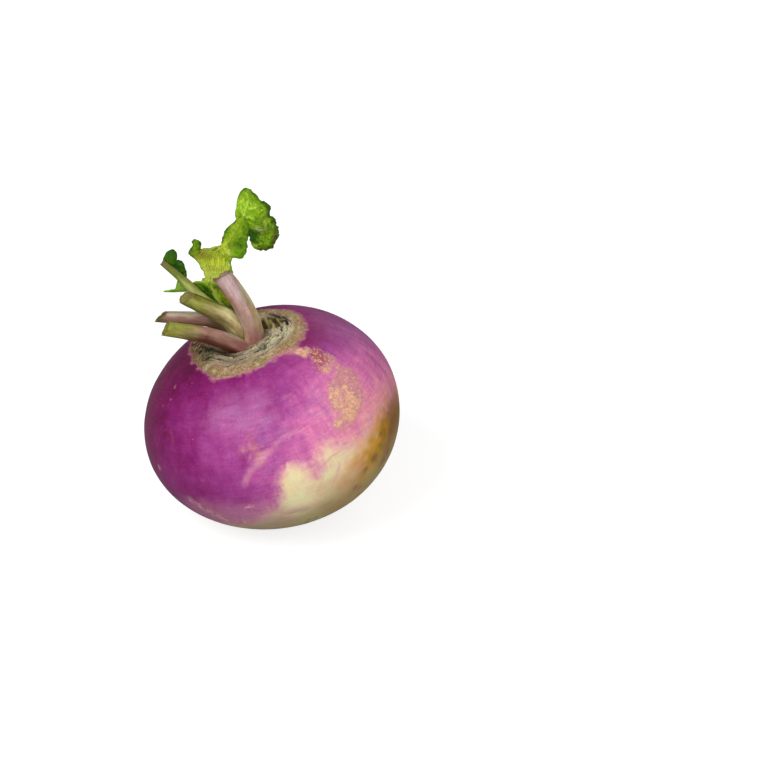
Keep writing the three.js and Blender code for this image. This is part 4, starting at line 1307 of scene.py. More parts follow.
STRIP_STROKES = [
    # the fan's lines
    *[(LEAF_OLIVE, 0.75, 0.17, (x, 28.0), (0.78 * x - 2, 21.8)) for x in np.arange(-14, -5, 0.8)],
    (LIME_BRIGHT, 0.7, 0.35, (-8.9, 26.8), (-8.9, 23.5)),
    (LIME_BRIGHT, 0.6, 0.3, (-11.2, 26.6), (-11.1, 24.0)),
    (LIME_BRIGHT, 0.6, 0.35, (-7.2, 26.2), (-7.4, 23.5)),
    (LIME_PALE, 0.5, 0.6, (-5.6, 24.6), (-6.0, 22.6)),
    (LEAF_DARK, 0.7, 0.4, (-10.3, 29.7), (-9.4, 30.3)),  # its dark spots
    (LEAF_DARK, 0.5, 0.35, (-8.9, 29.1), (-8.5, 28.7)),
    (LEAF_MID, 0.7, 0.32, (-7.4, 27.7), (-6.7, 27.4)),
    (LEAF_MID, 0.6, 0.5, (-6.0, 26.9), (-5.3, 26.1), (-6.1, 25.6)),
    (LEAF_MID, 0.65, 1.2, (-6.5, 33.2), (-6.1, 35.4), (-4.8, 37.6)),  # the middle lobe
    (LEAF_DARK, 0.6, 0.7, (-7.6, 32.8), (-7.0, 35.4), (-5.3, 38.1), (-3.0, 40.2)),
    (LIME, 0.5, 0.9, (-6.2, 33.0), (-6.4, 31.0), (-5.8, 29.8)),
    (LEAF_OLIVE_LIME, 0.5, 0.9, (-3.7, 38.9), (-3.4, 36.5), (-3.6, 34.8)),
    (LEAF_DARK, 0.5, 0.9, (0.3, 37.8), (1.0, 36.8), (0.9, 35.4)),
    (LEAF_OLIVE_LIME, 0.5, 0.14, (-1.6, 34.3), (0.1, 34.8), (1.4, 34.3), (1.9, 33.0)),
    (LEAF_DARK, 0.5, 0.45, (-1.2, 33.7), (-0.6, 33.6)),
    (LEAF_DARK, 0.6, 0.55, (-1.9, 31.9), (-1.0, 31.4)),
    (LEAF_MID, 0.7, 0.8, (-1.8, 29.4), (0.0, 28.9), (1.0, 30.4)),
    (MID_RIB_RUST, 0.5, 0.22, (-3.3, 33.8), (-4.2, 30.9), (-4.8, 29.4)),
    (STRAW, 0.8, 0.36, (-5.2, 29.6), (-4.9, 28.4)),
]

# Rows of a blade are [one edge, the middle, the other edge], each [right, up, forward] in the leaves'
# plane.
YOUNG_LEAF_ROWS = [
    [[-6.8, 5.6, -0.5], [-4.8, 5.2, 0], [0.4, 2.4, -0.4]],  # the wings beside the stalk
    [[-9.2, 7.6, -0.6], [-7.0, 8.0, 0], [-0.8, 5.6, -0.4]],
    [[-14, 12, -0.8], [-9.4, 10.8, 0], [-1.8, 9.4, -0.4]],
    [[-18.3, 15, -0.6], [-11.3, 14.6, 0], [-3.8, 12.8, -0.4]],
    [[-18.9, 17.1, -0.6], [-12.3, 16.6, 0], [-4.4, 15.2, -0.6]],
    [[-14.2, 18.6, 0], [-12.2, 18.4, 0], [-4.1, 17.4, -0.6]],  # the foot of the pleated fan
    [[-14.4, 20.6, 0.2], [-11.8, 21, 0], [-4.0, 20, -0.6]],
    [[-15.9, 23.8, 0.3], [-11.2, 23.8, 0], [-4.3, 23, -0.4]],
    [[-17.6, 26.2, 0.5], [-10.6, 25.8, 0], [-4.4, 24.6, 0]],
    [[-19.5, 28.1, 0.8], [-9.8, 27.2, 0.3], [-4.0, 25.9, 0.2]],
    [[-18.0, 29.5, 0.7], [-9.0, 28.4, 0.4], [-3.4, 26.4, 0.4]],
    [[-14.8, 29.9, 0.3], [-8.4, 29.3, 0.4], [-2.4, 26.4, 0.6]],
    [[-11.2, 29.6, 0.1], [-7.2, 30.2, 0.3], [-1.1, 26.5, 0.8]],
    [[-8.0, 30.2, 0.1], [-6.0, 31.2, 0.3], [0.2, 27.1, 0.8]],  # the middle lobe
    [[-7.4, 32.6, 0.2], [-4.4, 32.9, 0.2], [1.4, 29.0, 0.4]],
    [[-7.0, 35.2, 0.2], [-3.2, 34.9, 0], [1.8, 32.2, -0.4]],
    [[-5.3, 38.0, 0.2], [-1.6, 37.3, 0], [2.3, 35.2, -0.8]],
    [[-3.1, 40.0, 0.2], [-0.4, 39.5, 0], [3.2, 38.2, -0.4]],
    [[-1.5, 41.7, 0.2], [0.4, 42.0, 0], [2.8, 41.4, -0.2]],  # into the end lobe
]
YOUNG_LEAF_EAR = [
    [[-19.6, 28.2, 0.9], [-17.6, 27.6, 0.7], [-15.0, 28.8, 0.6]],
    [[-19.3, 30.1, 1.2], [-17.4, 29.8, 0.9], [-15.3, 30.2, 0.8]],
    [[-18.1, 31.6, 1.5], [-16.7, 31.4, 1.4], [-15.1, 31.4, 1.0]],
    [[-18.4, 32.9, 1.4], [-16.8, 32.8, 2.0], [-14.9, 32.6, 1.6]],
    [[-17.6, 33.9, 1.6], [-16.6, 34.0, 2.2], [-15.5, 33.4, 2.0]],
]
YOUNG_LEAF_END = [
    [[-0.9, 39.9, 0], [-1.4, 40.0, 0], [-1.9, 40.2, 0]],  # fanning out round the end of the midrib
    [[-0.8, 40.6, 0], [-1.7, 41.5, 0.1], [-2.4, 42.5, 0]],
    [[-0.6, 41.0, 0], [-1.3, 43.6, 0.3], [-1.8, 46.2, 0]],
    [[-0.4, 41.2, 0], [-0.9, 45.2, 0.3], [-1.1, 49.6, 0]],
    [[-0.1, 41.3, 0], [0.2, 46.8, 0.4], [0.9, 52.2, -0.2]],
    [[0.2, 41.2, 0], [1.5, 46.6, 0.5], [3.0, 51.9, -0.2]],
    [[0.6, 41.1, 0], [2.9, 45.4, 0.7], [5.5, 49.7, 0]],
    [[0.9, 40.9, 0], [4.0, 44.0, 0.9], [7.3, 47.4, -0.1]],
    [[1.1, 40.7, 0], [4.8, 43.6, 1.2], [8.6, 47.2, 0.3]],  # where the crumpled half begins
    [[1.2, 40.5, 0], [5.5, 43.0, 1.2], [9.9, 45.8, 0.4]],
    [[1.3, 40.2, 0], [6.1, 41.6, 1.5], [10.3, 42.9, 0.8]],
    [[1.4, 39.9, 0], [6.6, 40.2, 1.9], [11.6, 40.8, 1.1]],
    [[1.5, 39.4, 0.1], [7.2, 38.6, 2.4], [12.4, 38.4, 1.6]],
    [[1.6, 38.9, 0.2], [7.6, 37.2, 2.8], [13.1, 36.3, 2.0]],
    [[1.7, 38.2, 0.2], [7.5, 35.6, 3.1], [12.0, 33.9, 2.4]],
    [[1.8, 37.4, 0.1], [6.8, 34.2, 3.2], [10.2, 30.8, 2.2]],
    [[2.0, 36.4, 0.1], [5.6, 33.4, 2.8], [8.0, 30.4, 1.6]],
    [[2.3, 35.4, 0.1], [4.8, 33.0, 2.0], [6.4, 30.2, 1.2]],
    [[2.6, 34.5, 0.2], [3.9, 33.0, 1.4], [4.4, 31.2, 1.0]],
    [[2.8, 33.7, 0.4], [3.2, 32.9, 0.9], [3.1, 32.1, 0.8]],
]
SIDE_LEAF_TOP = [
    [[-28.9, 24.9, 0.4], [-28.8, 25.2, 0.5], [-28.7, 25.6, 0.6]],
    [[-28.2, 24.5, 0.3], [-28.4, 26.0, 0.8], [-28.5, 27.4, 0.4]],
    [[-27.2, 23.9, 0.2], [-27.3, 26.4, 1.0], [-27.3, 29.0, 0.2]],
    [[-26.3, 23.3, 0.1], [-26.1, 26.4, 1.1], [-25.6, 29.7, 0.0]],
    [[-25.5, 22.8, 0.1], [-25.0, 25.6, 0.9], [-24.0, 28.4, 0.2]],
    [[-25.0, 22.5, 0.1], [-24.8, 24.2, 0.5], [-24.5, 25.8, 0.3]],
    [[-24.8, 22.4, 0.1], [-24.8, 23.0, 0.2], [-24.8, 23.8, 0.2]],
]
SIDE_LEAF_SECOND = [
    [[-24.9, 22.8, 0.2], [-24.8, 23.4, 0.3], [-24.8, 24.2, 0.3]],
    [[-24.3, 22.1, 0.1], [-24.0, 24.0, 0.8], [-23.6, 26.1, 0.2]],
    [[-23.3, 21.2, 0.1], [-22.8, 23.4, 1.0], [-22.0, 25.4, 0.1]],
    [[-22.4, 20.3, 0.1], [-21.8, 21.8, 0.8], [-21.0, 23.0, 0.2]],
    [[-21.6, 19.5, 0.1], [-21.2, 20.2, 0.4], [-20.7, 20.8, 0.2]],
    [[-21.1, 19.0, 0.1], [-20.9, 19.1, 0.2], [-20.7, 19.2, 0.2]],
]
SIDE_LEAF_FLAP = [
    [[-24.2, 18.2, 0.2], [-23.9, 18.1, 0.2], [-23.6, 17.9, 0.2]],
    [[-24.6, 16.5, 0.4], [-22.9, 16.7, 0.5], [-21.7, 16.8, 0.2]],
    [[-25.3, 15.0, 0.5], [-22.8, 15.3, 0.7], [-20.2, 15.5, 0.2]],
    [[-29.2, 14.3, 0.2], [-25.0, 14.4, 0.5], [-19.6, 14.7, 0.2]],
    [[-29.3, 13.9, 0.2], [-24.8, 13.9, 0.3], [-20.6, 14.1, 0.2]],
]


def puckers(at, size, seed):
    """Blisters between sunken veins: the depth of a wandering field to either side of its middle value, on
    a lattice that is turned away from the leaf's own axes. Gives the height, from 0 in a vein to about 1,
    and how much a place lies in a vein."""
    at = at @ ROOT_TURN @ ASKEW + 0.25 * size * wander(at, size, seed + 2)
    large, small = np.abs(noise(at, size, seed)), np.abs(noise(at, size / 2, seed + 1))
    height = 1.3 * np.clip(large, 0, 0.6) + 0.6 * np.clip(small, 0, 0.5)
    return height, np.clip(bump(large, 0.14) + 0.6 * bump(small, 0.12), 0, 1)


def blade(piece, rows, shape, colour, steps, seed, tooth, thickness=0.5):
    """A thin sheet through rows of three points, smooth both ways. Its edges are toothed by noise, and
    shape adds relief along the normal as a function of how far along and across a point is. Front and back
    are half the thickness to either side, thinning to the edge."""
    lines, columns = steps
    tracks = spline(rows, lines)
    u = np.linspace(-1, 1, columns)[None, :, None]
    low, mid, high = (tracks[:, k][:, None] for k in range(3))
    sheet = mid + u * (high - low) / 2 + u**2 * ((high + low) / 2 - mid)
    along = np.linspace(0, 1, lines)[:, None]
    across = u[..., 0] + 0 * along
    rim = smooth(0.7, 1.0, np.abs(across))
    outwards = unit(sheet - mid)
    jag = tooth * (0.8 * noise(sheet, 2.2, seed) + 0.9 * noise(sheet, 0.85, seed + 1))
    sheet = sheet + (rim * jag)[..., None] * outwards * [1, 1, 0.3]
    normal = unit(np.cross(np.gradient(sheet, axis=1), np.gradient(sheet, axis=0)))
    normal = normal * np.where(normal[..., 2:] < 0, -1, 1)
    sheet = sheet + shape(sheet, along, across)[..., None] * normal
    half = thickness / 2 * np.sqrt(np.clip(1.02 - np.abs(across) ** 6, 0, 1))
    half = half * span(along, 0, 0.012, 0.988, 1) + 0.03
    front, back = sheet + half[..., None] * normal, sheet - half[..., None] * normal
    rings = np.concatenate([front, back[:, ::-1]], axis=1)
    paint = colour(sheet, along, across)
    piece.add(rings @ LEAF_FRAME + LEAF_START, paint=np.concatenate([paint, 0.92 * paint[:, ::-1]], axis=1))


def stroked(at, paint, strokes):
    """Brings colours in along short strokes. A stroke wavers a little, is full to a third of its half width
    and fades at one and a half."""
    spots = at[..., :2] + 0.2 * wander(at, 1.1, 190, axes=2)
    for colour, strength, half, *places in strokes:
        gap, _ = along_track(spots, np.array(places, float))
        paint = mixed(strength * smooth(1.5 * half, 0.3 * half, gap), paint, colour)
    return paint


def pleat(at, across):
    """The phase of the fan's pleats, which wander a little."""
    return 2 * np.pi * PLEAT_COUNT * across + 0.8 * noise(at, 5, 61)


def strip_shape(at, along, across):
    """The young leaf's relief: pleats that open out with the fan, soft swellings on the lobes, ruffled
    edges."""
    fan = span(along, 0.26, 0.36, 0.56, 0.68)
    ruffle = np.abs(across) ** 3 * (0.7 * noise(at, 3.2, 62) + 0.4 * noise(at, 1.4, 63))
    height, _ = puckers(at, 3.0, 64)
    rib = 0.35 * bump(across + 0.1, 0.07) * (1 - fan)
    relief = 0.06 * fan * np.cos(pleat(at, across)) + (1 - fan) * 0.6 * height
    return relief + ruffle + rib + 0.22 * fractal(at, 2.4, 66)


def strip_colour(at, along, across):
    """Dark green wings with a lime midrib, a lime fan that is faintly lined by its pleats and browner to
    the left, and a middle lobe that is olive lime on the left of its rib and mid green on the right. Folds
    and edges are darker."""
    fan = smooth(0.26, 0.33, along) * smooth(0.76, 0.62, along + 0.12 * across)
    _, vein = puckers(at, 3.0, 64)
    green = mixed(smooth(-0.35, 0.35, fractal(at, 4, 65)), LEAF_MID, LEAF_LIGHT * 0.8)
    wing = mixed(smooth(-0.3, 0.4, fractal(at, 3, 67)), LEAF_DARK, LEAF_MID * 0.8)
    level = 0.6 + 0.4 * smooth(0.05, 0.14, along)
    wing = mixed(smooth(0.1, 0.5, across), wing, LEAF_OLIVE * level[..., None])
    wing = mixed(0.9 * bump(across - 0.05 + 0.1 * noise(at, 2, 71), 0.18), wing, LEAF_OLIVE_LIME * 1.7)
    wing = mixed(0.6 * vein, wing, LEAF_DARK * 0.6)
    green = mixed(smooth(0.29, 0.22, along), green, wing)
    green = mixed(0.35 * vein * (1 - fan), green, LEAF_DARK)
    furrow = smooth(0.4, 1.0, 0.5 - 0.5 * np.cos(pleat(at, across)))
    level = 0.78 + 0.3 * smooth(-0.6, 0.6, across) - 0.28 * smooth(0.44, 0.56, along)
    level = level + 0.1 * fractal(at, 2, 78)
    lime = LIME * level[..., None]
    lime = mixed(0.8 * smooth(0.48, 0.34, along), lime, LIME_PALE)
    lime = mixed((0.1 + 0.1 * noise(at, 3, 79)) * furrow, lime, LEAF_MID * 1.2)
    dots = smooth(0.45, 0.7, noise(at, 0.8, 85)) * smooth(0.5, 0.36, along)
    lime = mixed(0.4 * dots, lime, LEAF_BROWN)
    lime = mixed(0.4 * smooth(0.1, 0.6, fractal(at, 3, 68)), lime, LEAF_LIGHT)
    green = mixed(fan * smooth(1.05, 0.9, np.abs(across)), green, lime)
    rust = bump(np.linalg.norm(at[..., :2] - RUST_SPOT, axis=-1), 2.2)
    green = mixed(0.55 * rust, green, LEAF_BROWN * 1.4)
    right = smooth(-0.1, 0.25, across + 0.08 * noise(at, 2, 76)) * smooth(0.64, 0.72, along)
    dark = mixed(0.6 * smooth(-0.2, 0.4, fractal(at, 2, 80)), LEAF_MID * 0.85, LEAF_MID * 0.4)
    right = right * (0.72 + 0.4 * noise(at, 3, 86))
    green = mixed(right, green, mixed(0.5 * vein, dark, LEAF_DARK))
    left = smooth(0.0, -0.3, across) * smooth(0.66, 0.74, along)
    outer = smooth(-0.45, -0.8, across)
    green = mixed(0.7 * left * (1 - 0.5 * vein) * (1 - 0.8 * outer), green, LEAF_OLIVE_LIME * 0.8)
    green = mixed(0.75 * left * outer, green, LEAF_MID * 0.8)
    rib = bump(across + 0.1, 0.09) * span(along, 0.62, 0.68, 0.78, 0.9)
    green = mixed(0.4 * rib, green, LIME * 0.9)
    neck = smooth(0.92, 0.98, along) * smooth(0.0, 0.4, across)
    green = mixed(0.5 * neck, green, LEAF_DARK * 1.4)
    belly = span(along, 0.62, 0.68, 0.7, 0.78) * smooth(0.3, 0.6, across)
    green = mixed(0.5 * belly, green, LEAF_MID * 1.5)
    green = stroked(at, green, STRIP_STROKES)
    return mixed(0.75 * smooth(0.8, 1.0, np.abs(across) + 0.1 * noise(at, 1.2, 69)), green, LEAF_DARK * 1.3)


def end_shape(at, along, across):
    """The end lobe's relief: veins that fan out over its smooth half, and deep blisters and ruffles over
    the crumpled half."""
    out = (across + 1) / 2
    crumple = smooth(0.34, 0.5, along)
    veins = bump((along * END_RIDGES + 0.3 * noise(at, 3, 178)) % 1 - 0.5, 0.2) * smooth(0.02, 0.2, out)
    height, _ = puckers(at, 1.5, 166)
    coarse, _ = puckers(at, 3.2, 176)
    ruffle = out**4 * (0.8 * noise(at, 2.6, 168) + 0.5 * noise(at, 1.1, 169))
    blisters = (0.15 + 0.45 * crumple) * height + 0.8 * crumple * coarse
    return 0.14 * veins + blisters * smooth(0, 0.3, out) + (0.35 + 0.8 * crumple) * ruffle


def end_colour(at, along, across):
    """Light green between paler veins; the crumpled half is mid green, finely speckled, with dark veins,
    painted shade low on its blisters and painted highlights on their crests, and painted shade in bottle
    green under its fold, whose edge is a pale painted highlight; edges are dark."""
    out = (across + 1) / 2
    crumple = smooth(0.34, 0.5, along + 0.03 * noise(at, 2, 175))
    height, vein = puckers(at, 1.5, 166)
    coarse, deep = puckers(at, 3.2, 176)
    fanned = bump((along * END_VEINS + 0.5 * noise(at, 3, 178)) % 1 - 0.5, 0.2)
    fanned = fanned * (0.6 + 0.5 * noise(at, 2, 179))
    green = mixed(smooth(-0.3, 0.4, fractal(at, 2.4, 70)), LEAF_LIGHT * 0.96, LEAF_MID * 1.5)
    green = green * (1 - 0.3 * smooth(0.6, 1.0, out))[..., None]
    green = mixed(0.55 * smooth(0.3, 0.05, out) * (1 - fanned), green, LEAF_MID * 0.8)
    green = mixed(0.55 * smooth(0.18, 0.34, along) * smooth(0.35, 0.8, out), green, LEAF_MID * 0.9)
    green = mixed(0.55 * fanned * smooth(0.95, 0.4, out), green, LIME_PALE * 0.9)
    green = mixed(0.4 * vein, green, LEAF_MID * 0.8)
    # painted light: the blisters are darker low down and lighter on their crests
    blister = mixed(smooth(0.0, 0.6, height), LEAF_MID * 0.55, LEAF_MID * 1.1)
    blister = mixed(0.6 * smooth(0.64, 0.5, along), blister, LEAF_LIGHT * 0.8)
    crests = smooth(0.45, 0.9, 0.6 * height + 0.5 * coarse) * smooth(0.7, 0.55, along)
    blister = mixed(0.5 * crests, blister, LEAF_LIGHT * 0.95)
    veined = bump(noise(at @ ASKEW, 0.9, 181), 0.12)
    blister = mixed(0.4 * veined, blister, LEAF_OLIVE_LIME * 0.8)
    blister = mixed(0.5 * deep, blister, LEAF_DARK * 1.4)
    speck = smooth(0.15, 0.55, noise(at @ ASKEW, 0.65, 171)) * smooth(0.2, 0.7, out)
    blister = mixed(0.6 * speck, blister, LEAF_BROWN * 0.7)
    green = stroked(at, mixed(crumple, green, blister), END_STROKES)
    # painted highlight along the edge of the fold, and painted shade in bottle green under it
    fold = bump(along - 0.69, 0.014) * span(out, 0.12, 0.3, 0.4, 0.6)
    inner = smooth(0.7, 0.75, along) * smooth(0.62, 0.35, out + 0.12 * noise(at, 1.5, 177))
    green = mixed(0.9 * inner, green, LEAF_BOTTLE)
    green = mixed(0.7 * fold, green, FOLD_HIGHLIGHT)
    edge = smooth(0.84 - 0.08 * crumple, 0.98, out + 0.1 * noise(at, 1.2, 73))
    green = mixed((0.65 + 0.25 * crumple) * edge, green, LEAF_DARK * 0.8)
    return mixed(0.6 * edge * crumple * smooth(0.0, 0.5, noise(at, 1.3, 74)), green, LEAF_BROWN * 0.6)


def young_leaf():
    """Wings, pleated fan and middle lobe along the midrib, an ear that curls over at the fan's corner, and
    an end lobe that fans out and crumples."""

    def ear_shape(at, along, across):
        """Soft swellings and ruffled edges."""
        return 0.5 * fractal(at, 1.8, 161) + 0.3 * np.abs(across) ** 3 * noise(at, 1.1, 162)

    def ear_colour(at, along, across):
        """Mid green, olive at its foot and darker towards the edges."""
        green = mixed(smooth(-0.2, 0.4, fractal(at, 1.6, 163)), LEAF_MID, LEAF_LIGHT * 0.8)
        green = mixed(0.8 * smooth(0.35, 0.0, along), green, LEAF_OLIVE)
        edge = smooth(0.5, 1.0, np.abs(across) + 0.35 * along)
        return mixed(0.85 * edge, green * 0.85, LEAF_DARK)

    piece = Piece("young_leaf")
    blade(piece, YOUNG_LEAF_ROWS, strip_shape, strip_colour, steps=(260, 90), seed=60, tooth=0.4)
    blade(piece, YOUNG_LEAF_EAR, ear_shape, ear_colour, steps=(60, 40), seed=160, tooth=0.3)
    tooth = blend(smooth(0.36, 0.44, np.linspace(0, 1, END_STEPS[0])[:, None]), 0.18, 0.5)
    blade(piece, YOUNG_LEAF_END, end_shape, end_colour, steps=END_STEPS, seed=164, tooth=tooth)
    return piece.build(LEAF, "leaf_green", "young_leaf_blade")


def small_blade(name, groups, colours, node, seed):
    """A small stiff lobe or flap: gently ruffled, dark, with a paler middle."""

    def shape(at, along, across):
        """Soft swellings and ruffled edges."""
        return 0.4 * fractal(at, 2.2, seed) + 0.35 * np.abs(across) ** 3 * noise(at, 1.3, seed + 1)

    def colour(at, along, across):
        """From the first green to the second, paler on the blisters as a painted highlight, and dark at the
        edges.
        """
        height, _ = puckers(at, 1.8, seed + 2)
        green = mixed(smooth(-0.2, 0.5, fractal(at, 2, seed + 2)), colours[0], colours[1])
        # painted highlight on the blister crests
        green = mixed(0.4 * smooth(0.4, 0.9, height), green, colours[1] * 1.8)
        return mixed(0.6 * smooth(0.75, 1.0, np.abs(across)), green, LEAF_BOTTLE * 0.7)

    piece = Piece(name)
    for k, rows in enumerate(groups):
        blade(piece, rows, shape, colour, steps=(80, 40), thickness=0.55, seed=seed + 5 + k, tooth=0.25)
    return piece.build(LEAF, "leaf_green", node)


# ---- Crown details ----

# The foot and the ragged top of the torn stump, from its front end to its back end, from the crown's centre
STUMP_FOOT = [
    (7.2, -0.5, -1.2), (8.5, 1.0, -1.2), (9.9, 2.4, -1.2), (11.5, 3.6, -1.1), (13.2, 4.5, -1.0),
    (14.9, 5.6, -1.0),
]
STUMP_TOP = [
    (8.7, 0.8, 1.2), (9.8, 3.1, 2.3), (10.1, 5.7, 3.3), (11.6, 6.5, 3.4), (13.0, 6.6, 2.5),
    (14.8, 6.8, 1.1),
]
STUMP_OUTWARDS = (0.62, -0.74, 0.25)  # the way its wall bows
STUMP_RIBS = 3.2
STUMP_TIP = rgb(0.6, 0.54, 0.24)

FLAKE_COUNT = 420
FLAKE_CORNERS = [[1, 0, 0], [0, 1, 0], [-1, 0, 0], [0, -1, 0], [0, 0, 1], [0, 0, -1]]
FLAKE_FACES = [[0, 1, 4], [1, 2, 4], [2, 3, 4], [3, 0, 4], [1, 0, 5], [2, 1, 5], [3, 2, 5], [0, 3, 5]]

ROOTLET_COUNT = 16
ROOTLET_RADIUS = 0.32
ROOTLET_TAN = rgb(0.55, 0.42, 0.24)


def stump():
    """The torn foot of an old stalk: a wall between a base line and a ragged top line that bows outwards.
    It is pleated into ribs, which stand taller and thicker than the webs between them."""
    rows, steps = 150, 26
    along = np.linspace(0, 1, rows)[:, None]
    climb = np.concatenate([np.linspace(0, 1, steps), np.linspace(1, 0, steps)])[None, :]
    face = np.concatenate([np.ones(steps), -np.ones(steps)])[None, :]
    low, high = (spline(line, rows)[:, None] for line in (STUMP_FOOT, STUMP_TOP))
    spot = stacked(24 * along, 5 * climb, 0)
    crest = 0.5 + 0.5 * np.cos(2 * np.pi * STUMP_RIBS * along + 4.4 * noise(spot, 5, 84) + 3.2 * climb)
    crest = 0.6 * crest + 0.4 * (0.5 + 0.5 * noise(spot * [1, 0.25, 0], 0.9, 87))
    top = 0.34 + 0.56 * crest + 0.26 * noise(spot * [1, 0, 0], 2.6, 81)
    rise = climb * (top + 0.1 * noise(spot * [1, 0, 0], 0.6, 82))
    half = (0.16 + 0.5 * crest) * (1.15 - climb) + 0.1 * noise(spot, 0.8, 83)
    bow = 0.7 * np.sin(np.pi * climb) + 0.7 * crest - 0.35
    rings = low + rise[..., None] * (high - low) + (bow + half * face)[..., None] * STUMP_OUTWARDS
    bright = smooth(0.3, 0.9, crest + 0.25 * noise(spot, 0.9, 85))
    paint = mixed(bright, RIB * 0.4, mixed(climb, RIB, STUMP_TIP))
    paint = mixed(0.7 * smooth(0.35, 0.0, climb + 0.15 * noise(spot, 1.5, 86)), paint, CROWN_GREEN * 1.6)
    dry, grain = 0.15 * smooth(0.7, 1, climb), stacked(24 * along, 0, 6 * climb)
    piece = Piece("stump_fibres")
    piece.add(rings + CROWN_CENTRE, paint=paint, dry=dry, grain=grain)
    return piece.build(DRIED, "dried_stalk", "stalk_stump")


def crown_height(across):
    """Height of the plain crown above the root's middle at a distance from the axis."""
    angle = np.linspace(0, 1.2, 600)
    radius, height = root_profile(angle)
    return np.interp(across, radius, height)


def flakes():
    """Chips of dry cork round the crown's edge: squashed octahedra, turned and sized at random."""
    dice = np.random.default_rng(12)
    count, corners = FLAKE_COUNT, len(FLAKE_CORNERS)
    turn = dice.uniform(-np.pi, np.pi, count)
    edge = np.interp(np.degrees(turn), CORK_TURN, CORK_EDGE, period=360)
    across = edge - 0.9 - np.abs(dice.normal(0, 1.4, count))
    spots = cylinder(across, turn, crown_height(across) + 0.3)
    size = dice.uniform(0.25, 0.75, (count, 1, 1)) * dice.uniform(0.6, 1.3, (count, 1, 3)) * [1, 0.7, 0.32]
    shapes = FLAKE_CORNERS * size * dice.uniform(0.7, 1.3, (count, corners, 1))
    spin, tip = dice.uniform(0, 2 * np.pi, count), dice.normal(0, 0.45, count)
    zero, one = np.zeros(count), np.ones(count)
    (c, s), (cs, sn) = ((np.cos(angle), np.sin(angle)) for angle in (tip, spin))
    tilt = np.array([[one, zero, zero], [zero, c, -s], [zero, s, c]])
    twist = np.array([[cs, -sn, zero], [sn, cs, zero], [zero, zero, one]])
    shapes = np.einsum("ijn,jkn,nvk->nvi", twist, tilt, shapes)
    points = leaned(shapes + spots[:, None]).reshape(-1, 3)
    paint = mixed(np.repeat(dice.uniform(0, 1, count), corners), CORK, CORK_PALE)
    faces = (FLAKE_FACES + corners * np.arange(count)[:, None, None]).reshape(-1, 3)
    piece = Piece("cork_flakes")
    piece.add_shapes(points, faces, paint=paint, dry=np.full(len(points), 0.1), grain=points)
    return piece.build(DRIED, "root_skin")


def rootlets():
    """Fine roots left round the tail: tapered threads that leave it sideways and turn up along the skin."""
    dice = np.random.default_rng(5)
    piece = Piece("tail_rootlets")
    sides, rows = 7, 18
    around = np.linspace(0, 2 * np.pi, sides, endpoint=False)[None, :]
    share = np.linspace(0, 1, rows)[:, None]
    for _ in range(ROOTLET_COUNT):
        turn, start, length = dice.uniform(-180, 180), dice.uniform(171, 177), dice.uniform(5, 12)
        polar = start - np.cumsum(np.full(rows, length / rows)) * 1.2
        track = root_place(polar, turn + 12 * dice.normal() * share[:, 0] ** 2)
        lift = 0.1 + 0.5 * np.sin(np.pi * share) * dice.uniform(0.2, 1)
        track = track + [TAIL_SWAY, 0, 0] + unit(track) * lift
        along = unit(np.gradient(track, axis=0))
        side = unit(np.cross(along, unit(track)))
        up = np.cross(side, along)
        radius = ROOTLET_RADIUS * (1 - 0.85 * share)[..., None]
        ring = np.cos(around)[..., None] * side[:, None] + np.sin(around)[..., None] * up[:, None]
        rings = settle(leaned(track[:, None] + radius * ring))
        piece.add(rings, paint=ROOTLET_TAN + 0 * rings, dry=0.2, grain=rings)
    return piece.build(DRIED, "root_skin")


LEAF = leaf_finish()
FLESH = stalk_finish("stalk_flesh", 0.6)
DRIED = stalk_finish("dried_fibre", 1.6)

root()
for stalk_name in STALKS:
    stalk(stalk_name, FLESH)
young_leaf()
dark_greens, mid_greens = (LEAF_BOTTLE, LEAF_DARK), (LEAF_SAGE, LEAF_MID)
small_blade("side_leaf_lobes", [SIDE_LEAF_TOP, SIDE_LEAF_SECOND], dark_greens, "side_leaf_upper_blade", 90)
small_blade("side_leaf_flap", [SIDE_LEAF_FLAP], mid_greens, "side_leaf_lower_blade", 110)
stump()
flakes()
rootlets()


# ---- Stage, light and camera ----

FLOOR_HALF = 6.0  # metres


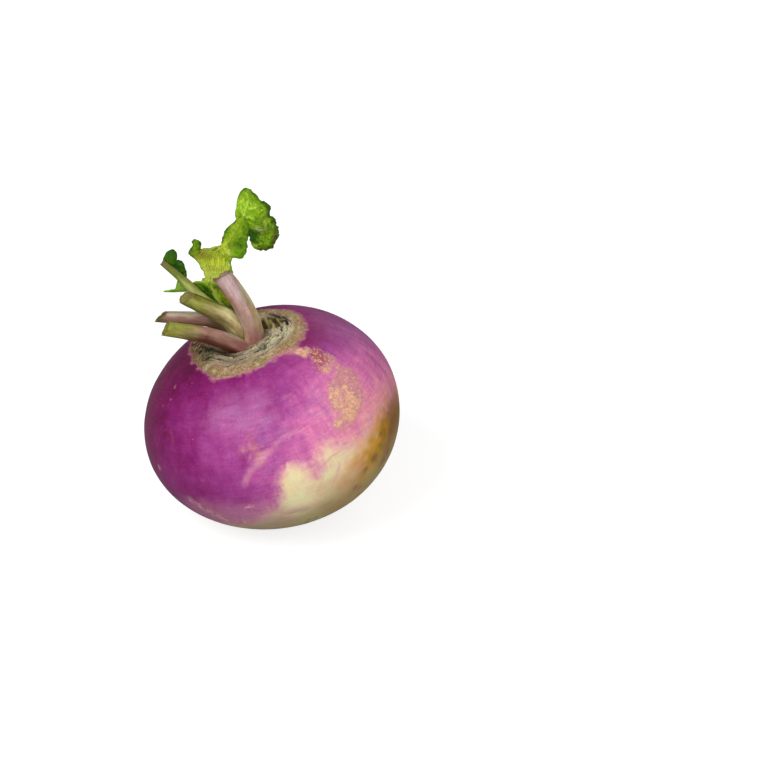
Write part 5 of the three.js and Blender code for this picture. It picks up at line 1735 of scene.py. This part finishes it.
def floor():
    """A pale floor that looks white and keeps the shadow: plain matt, with a white glow that the camera
    sees. The glow is a little stronger away from the object, where the lamps give out."""
    size = FLOOR_HALF
    mesh = bpy.data.meshes.new("floor")
    corners = [(-size, -size, 0), (size, -size, 0), (size, size, 0), (-size, size, 0)]
    mesh.from_pydata(corners, [], [(0, 1, 2, 3)])
    made = shown("floor", mesh)
    material = bpy.data.materials.new("floor_white")
    f = Nodes(material)
    f.tree.nodes.clear()
    place = f.node("ShaderNodeTexCoord").outputs["Object"]
    away = f.node("ShaderNodeVectorMath", {"operation": "LENGTH"}, Vector=place).outputs["Value"]
    level = f.step(away, 0.08, 0.45, 0.76, 0.95)
    seen = f.node("ShaderNodeLightPath").outputs["Is Camera Ray"]
    glow = f.node("ShaderNodeEmission", Strength=f.times(seen, level))
    matt = f.node("ShaderNodeBsdfDiffuse", Color=(0.42, 0.42, 0.42, 1))
    both = f.node("ShaderNodeAddShader")
    f.plug(both.inputs[0], matt.outputs[0])
    f.plug(both.inputs[1], glow.outputs[0])
    f.node("ShaderNodeOutputMaterial", Surface=both.outputs[0])
    mesh.materials.append(material)


def surroundings():
    """White to the camera, and a soft grey light to everything else, reflections too."""
    world = bpy.data.worlds.new("studio")
    f = Nodes(world)
    bpy.context.scene.world = world
    back = f.tree.nodes["Background"]
    back.inputs["Color"].default_value = (1, 1, 1, 1)
    seen = f.node("ShaderNodeLightPath").outputs["Is Camera Ray"]
    spread = f.node("ShaderNodeMapRange", Value=seen, To_Min=0.26, To_Max=1.0)
    f.plug(back.inputs["Strength"], spread.outputs["Result"])


def lamp(name, towards, distance, size, power, target):
    """A square soft box that stands in a direction from the target and faces it."""
    light = bpy.data.lights.new(name, "AREA")
    light.shape = "SQUARE"
    light.size = size
    light.energy = power
    made = shown(name, light)
    away = Vector(towards).normalized()
    made.location = target + away * distance
    made.rotation_euler = away.to_track_quat("Z", "Y").to_euler()


def camera():
    """A long lens from the front and above, aimed to the right of the root, which stands left in the
    frame."""
    rise = np.radians(32)
    lens, distance = 85, 677 * MM
    aim_right, aim_up = 41.8 * MM, 12 * MM
    back = Vector((0, -np.cos(rise), np.sin(rise)))
    up = Vector((0, np.sin(rise), np.cos(rise)))
    data = bpy.data.cameras.new("camera")
    data.lens = lens
    data.sensor_width = 36
    made = shown("camera", data)
    aim = Vector(ROOT_MIDDLE * MM) + Vector((aim_right, 0, 0)) + up * aim_up
    made.location = aim + back * distance
    made.rotation_euler = (np.pi / 2 - rise, 0, 0)
    bpy.context.scene.camera = made


floor()
surroundings()
middle = Vector(ROOT_MIDDLE * MM)
lamp("key", (-0.48, -0.46, 0.75), 0.9, 0.5, 5.0, middle)
lamp("front", (0.42, -0.82, 0.42), 1.1, 1.2, 8.0, middle)
lamp("back", (0.35, 0.9, 0.5), 1.0, 0.7, 1.4, middle)
camera()
bpy.context.scene.view_settings.view_transform = "Standard"
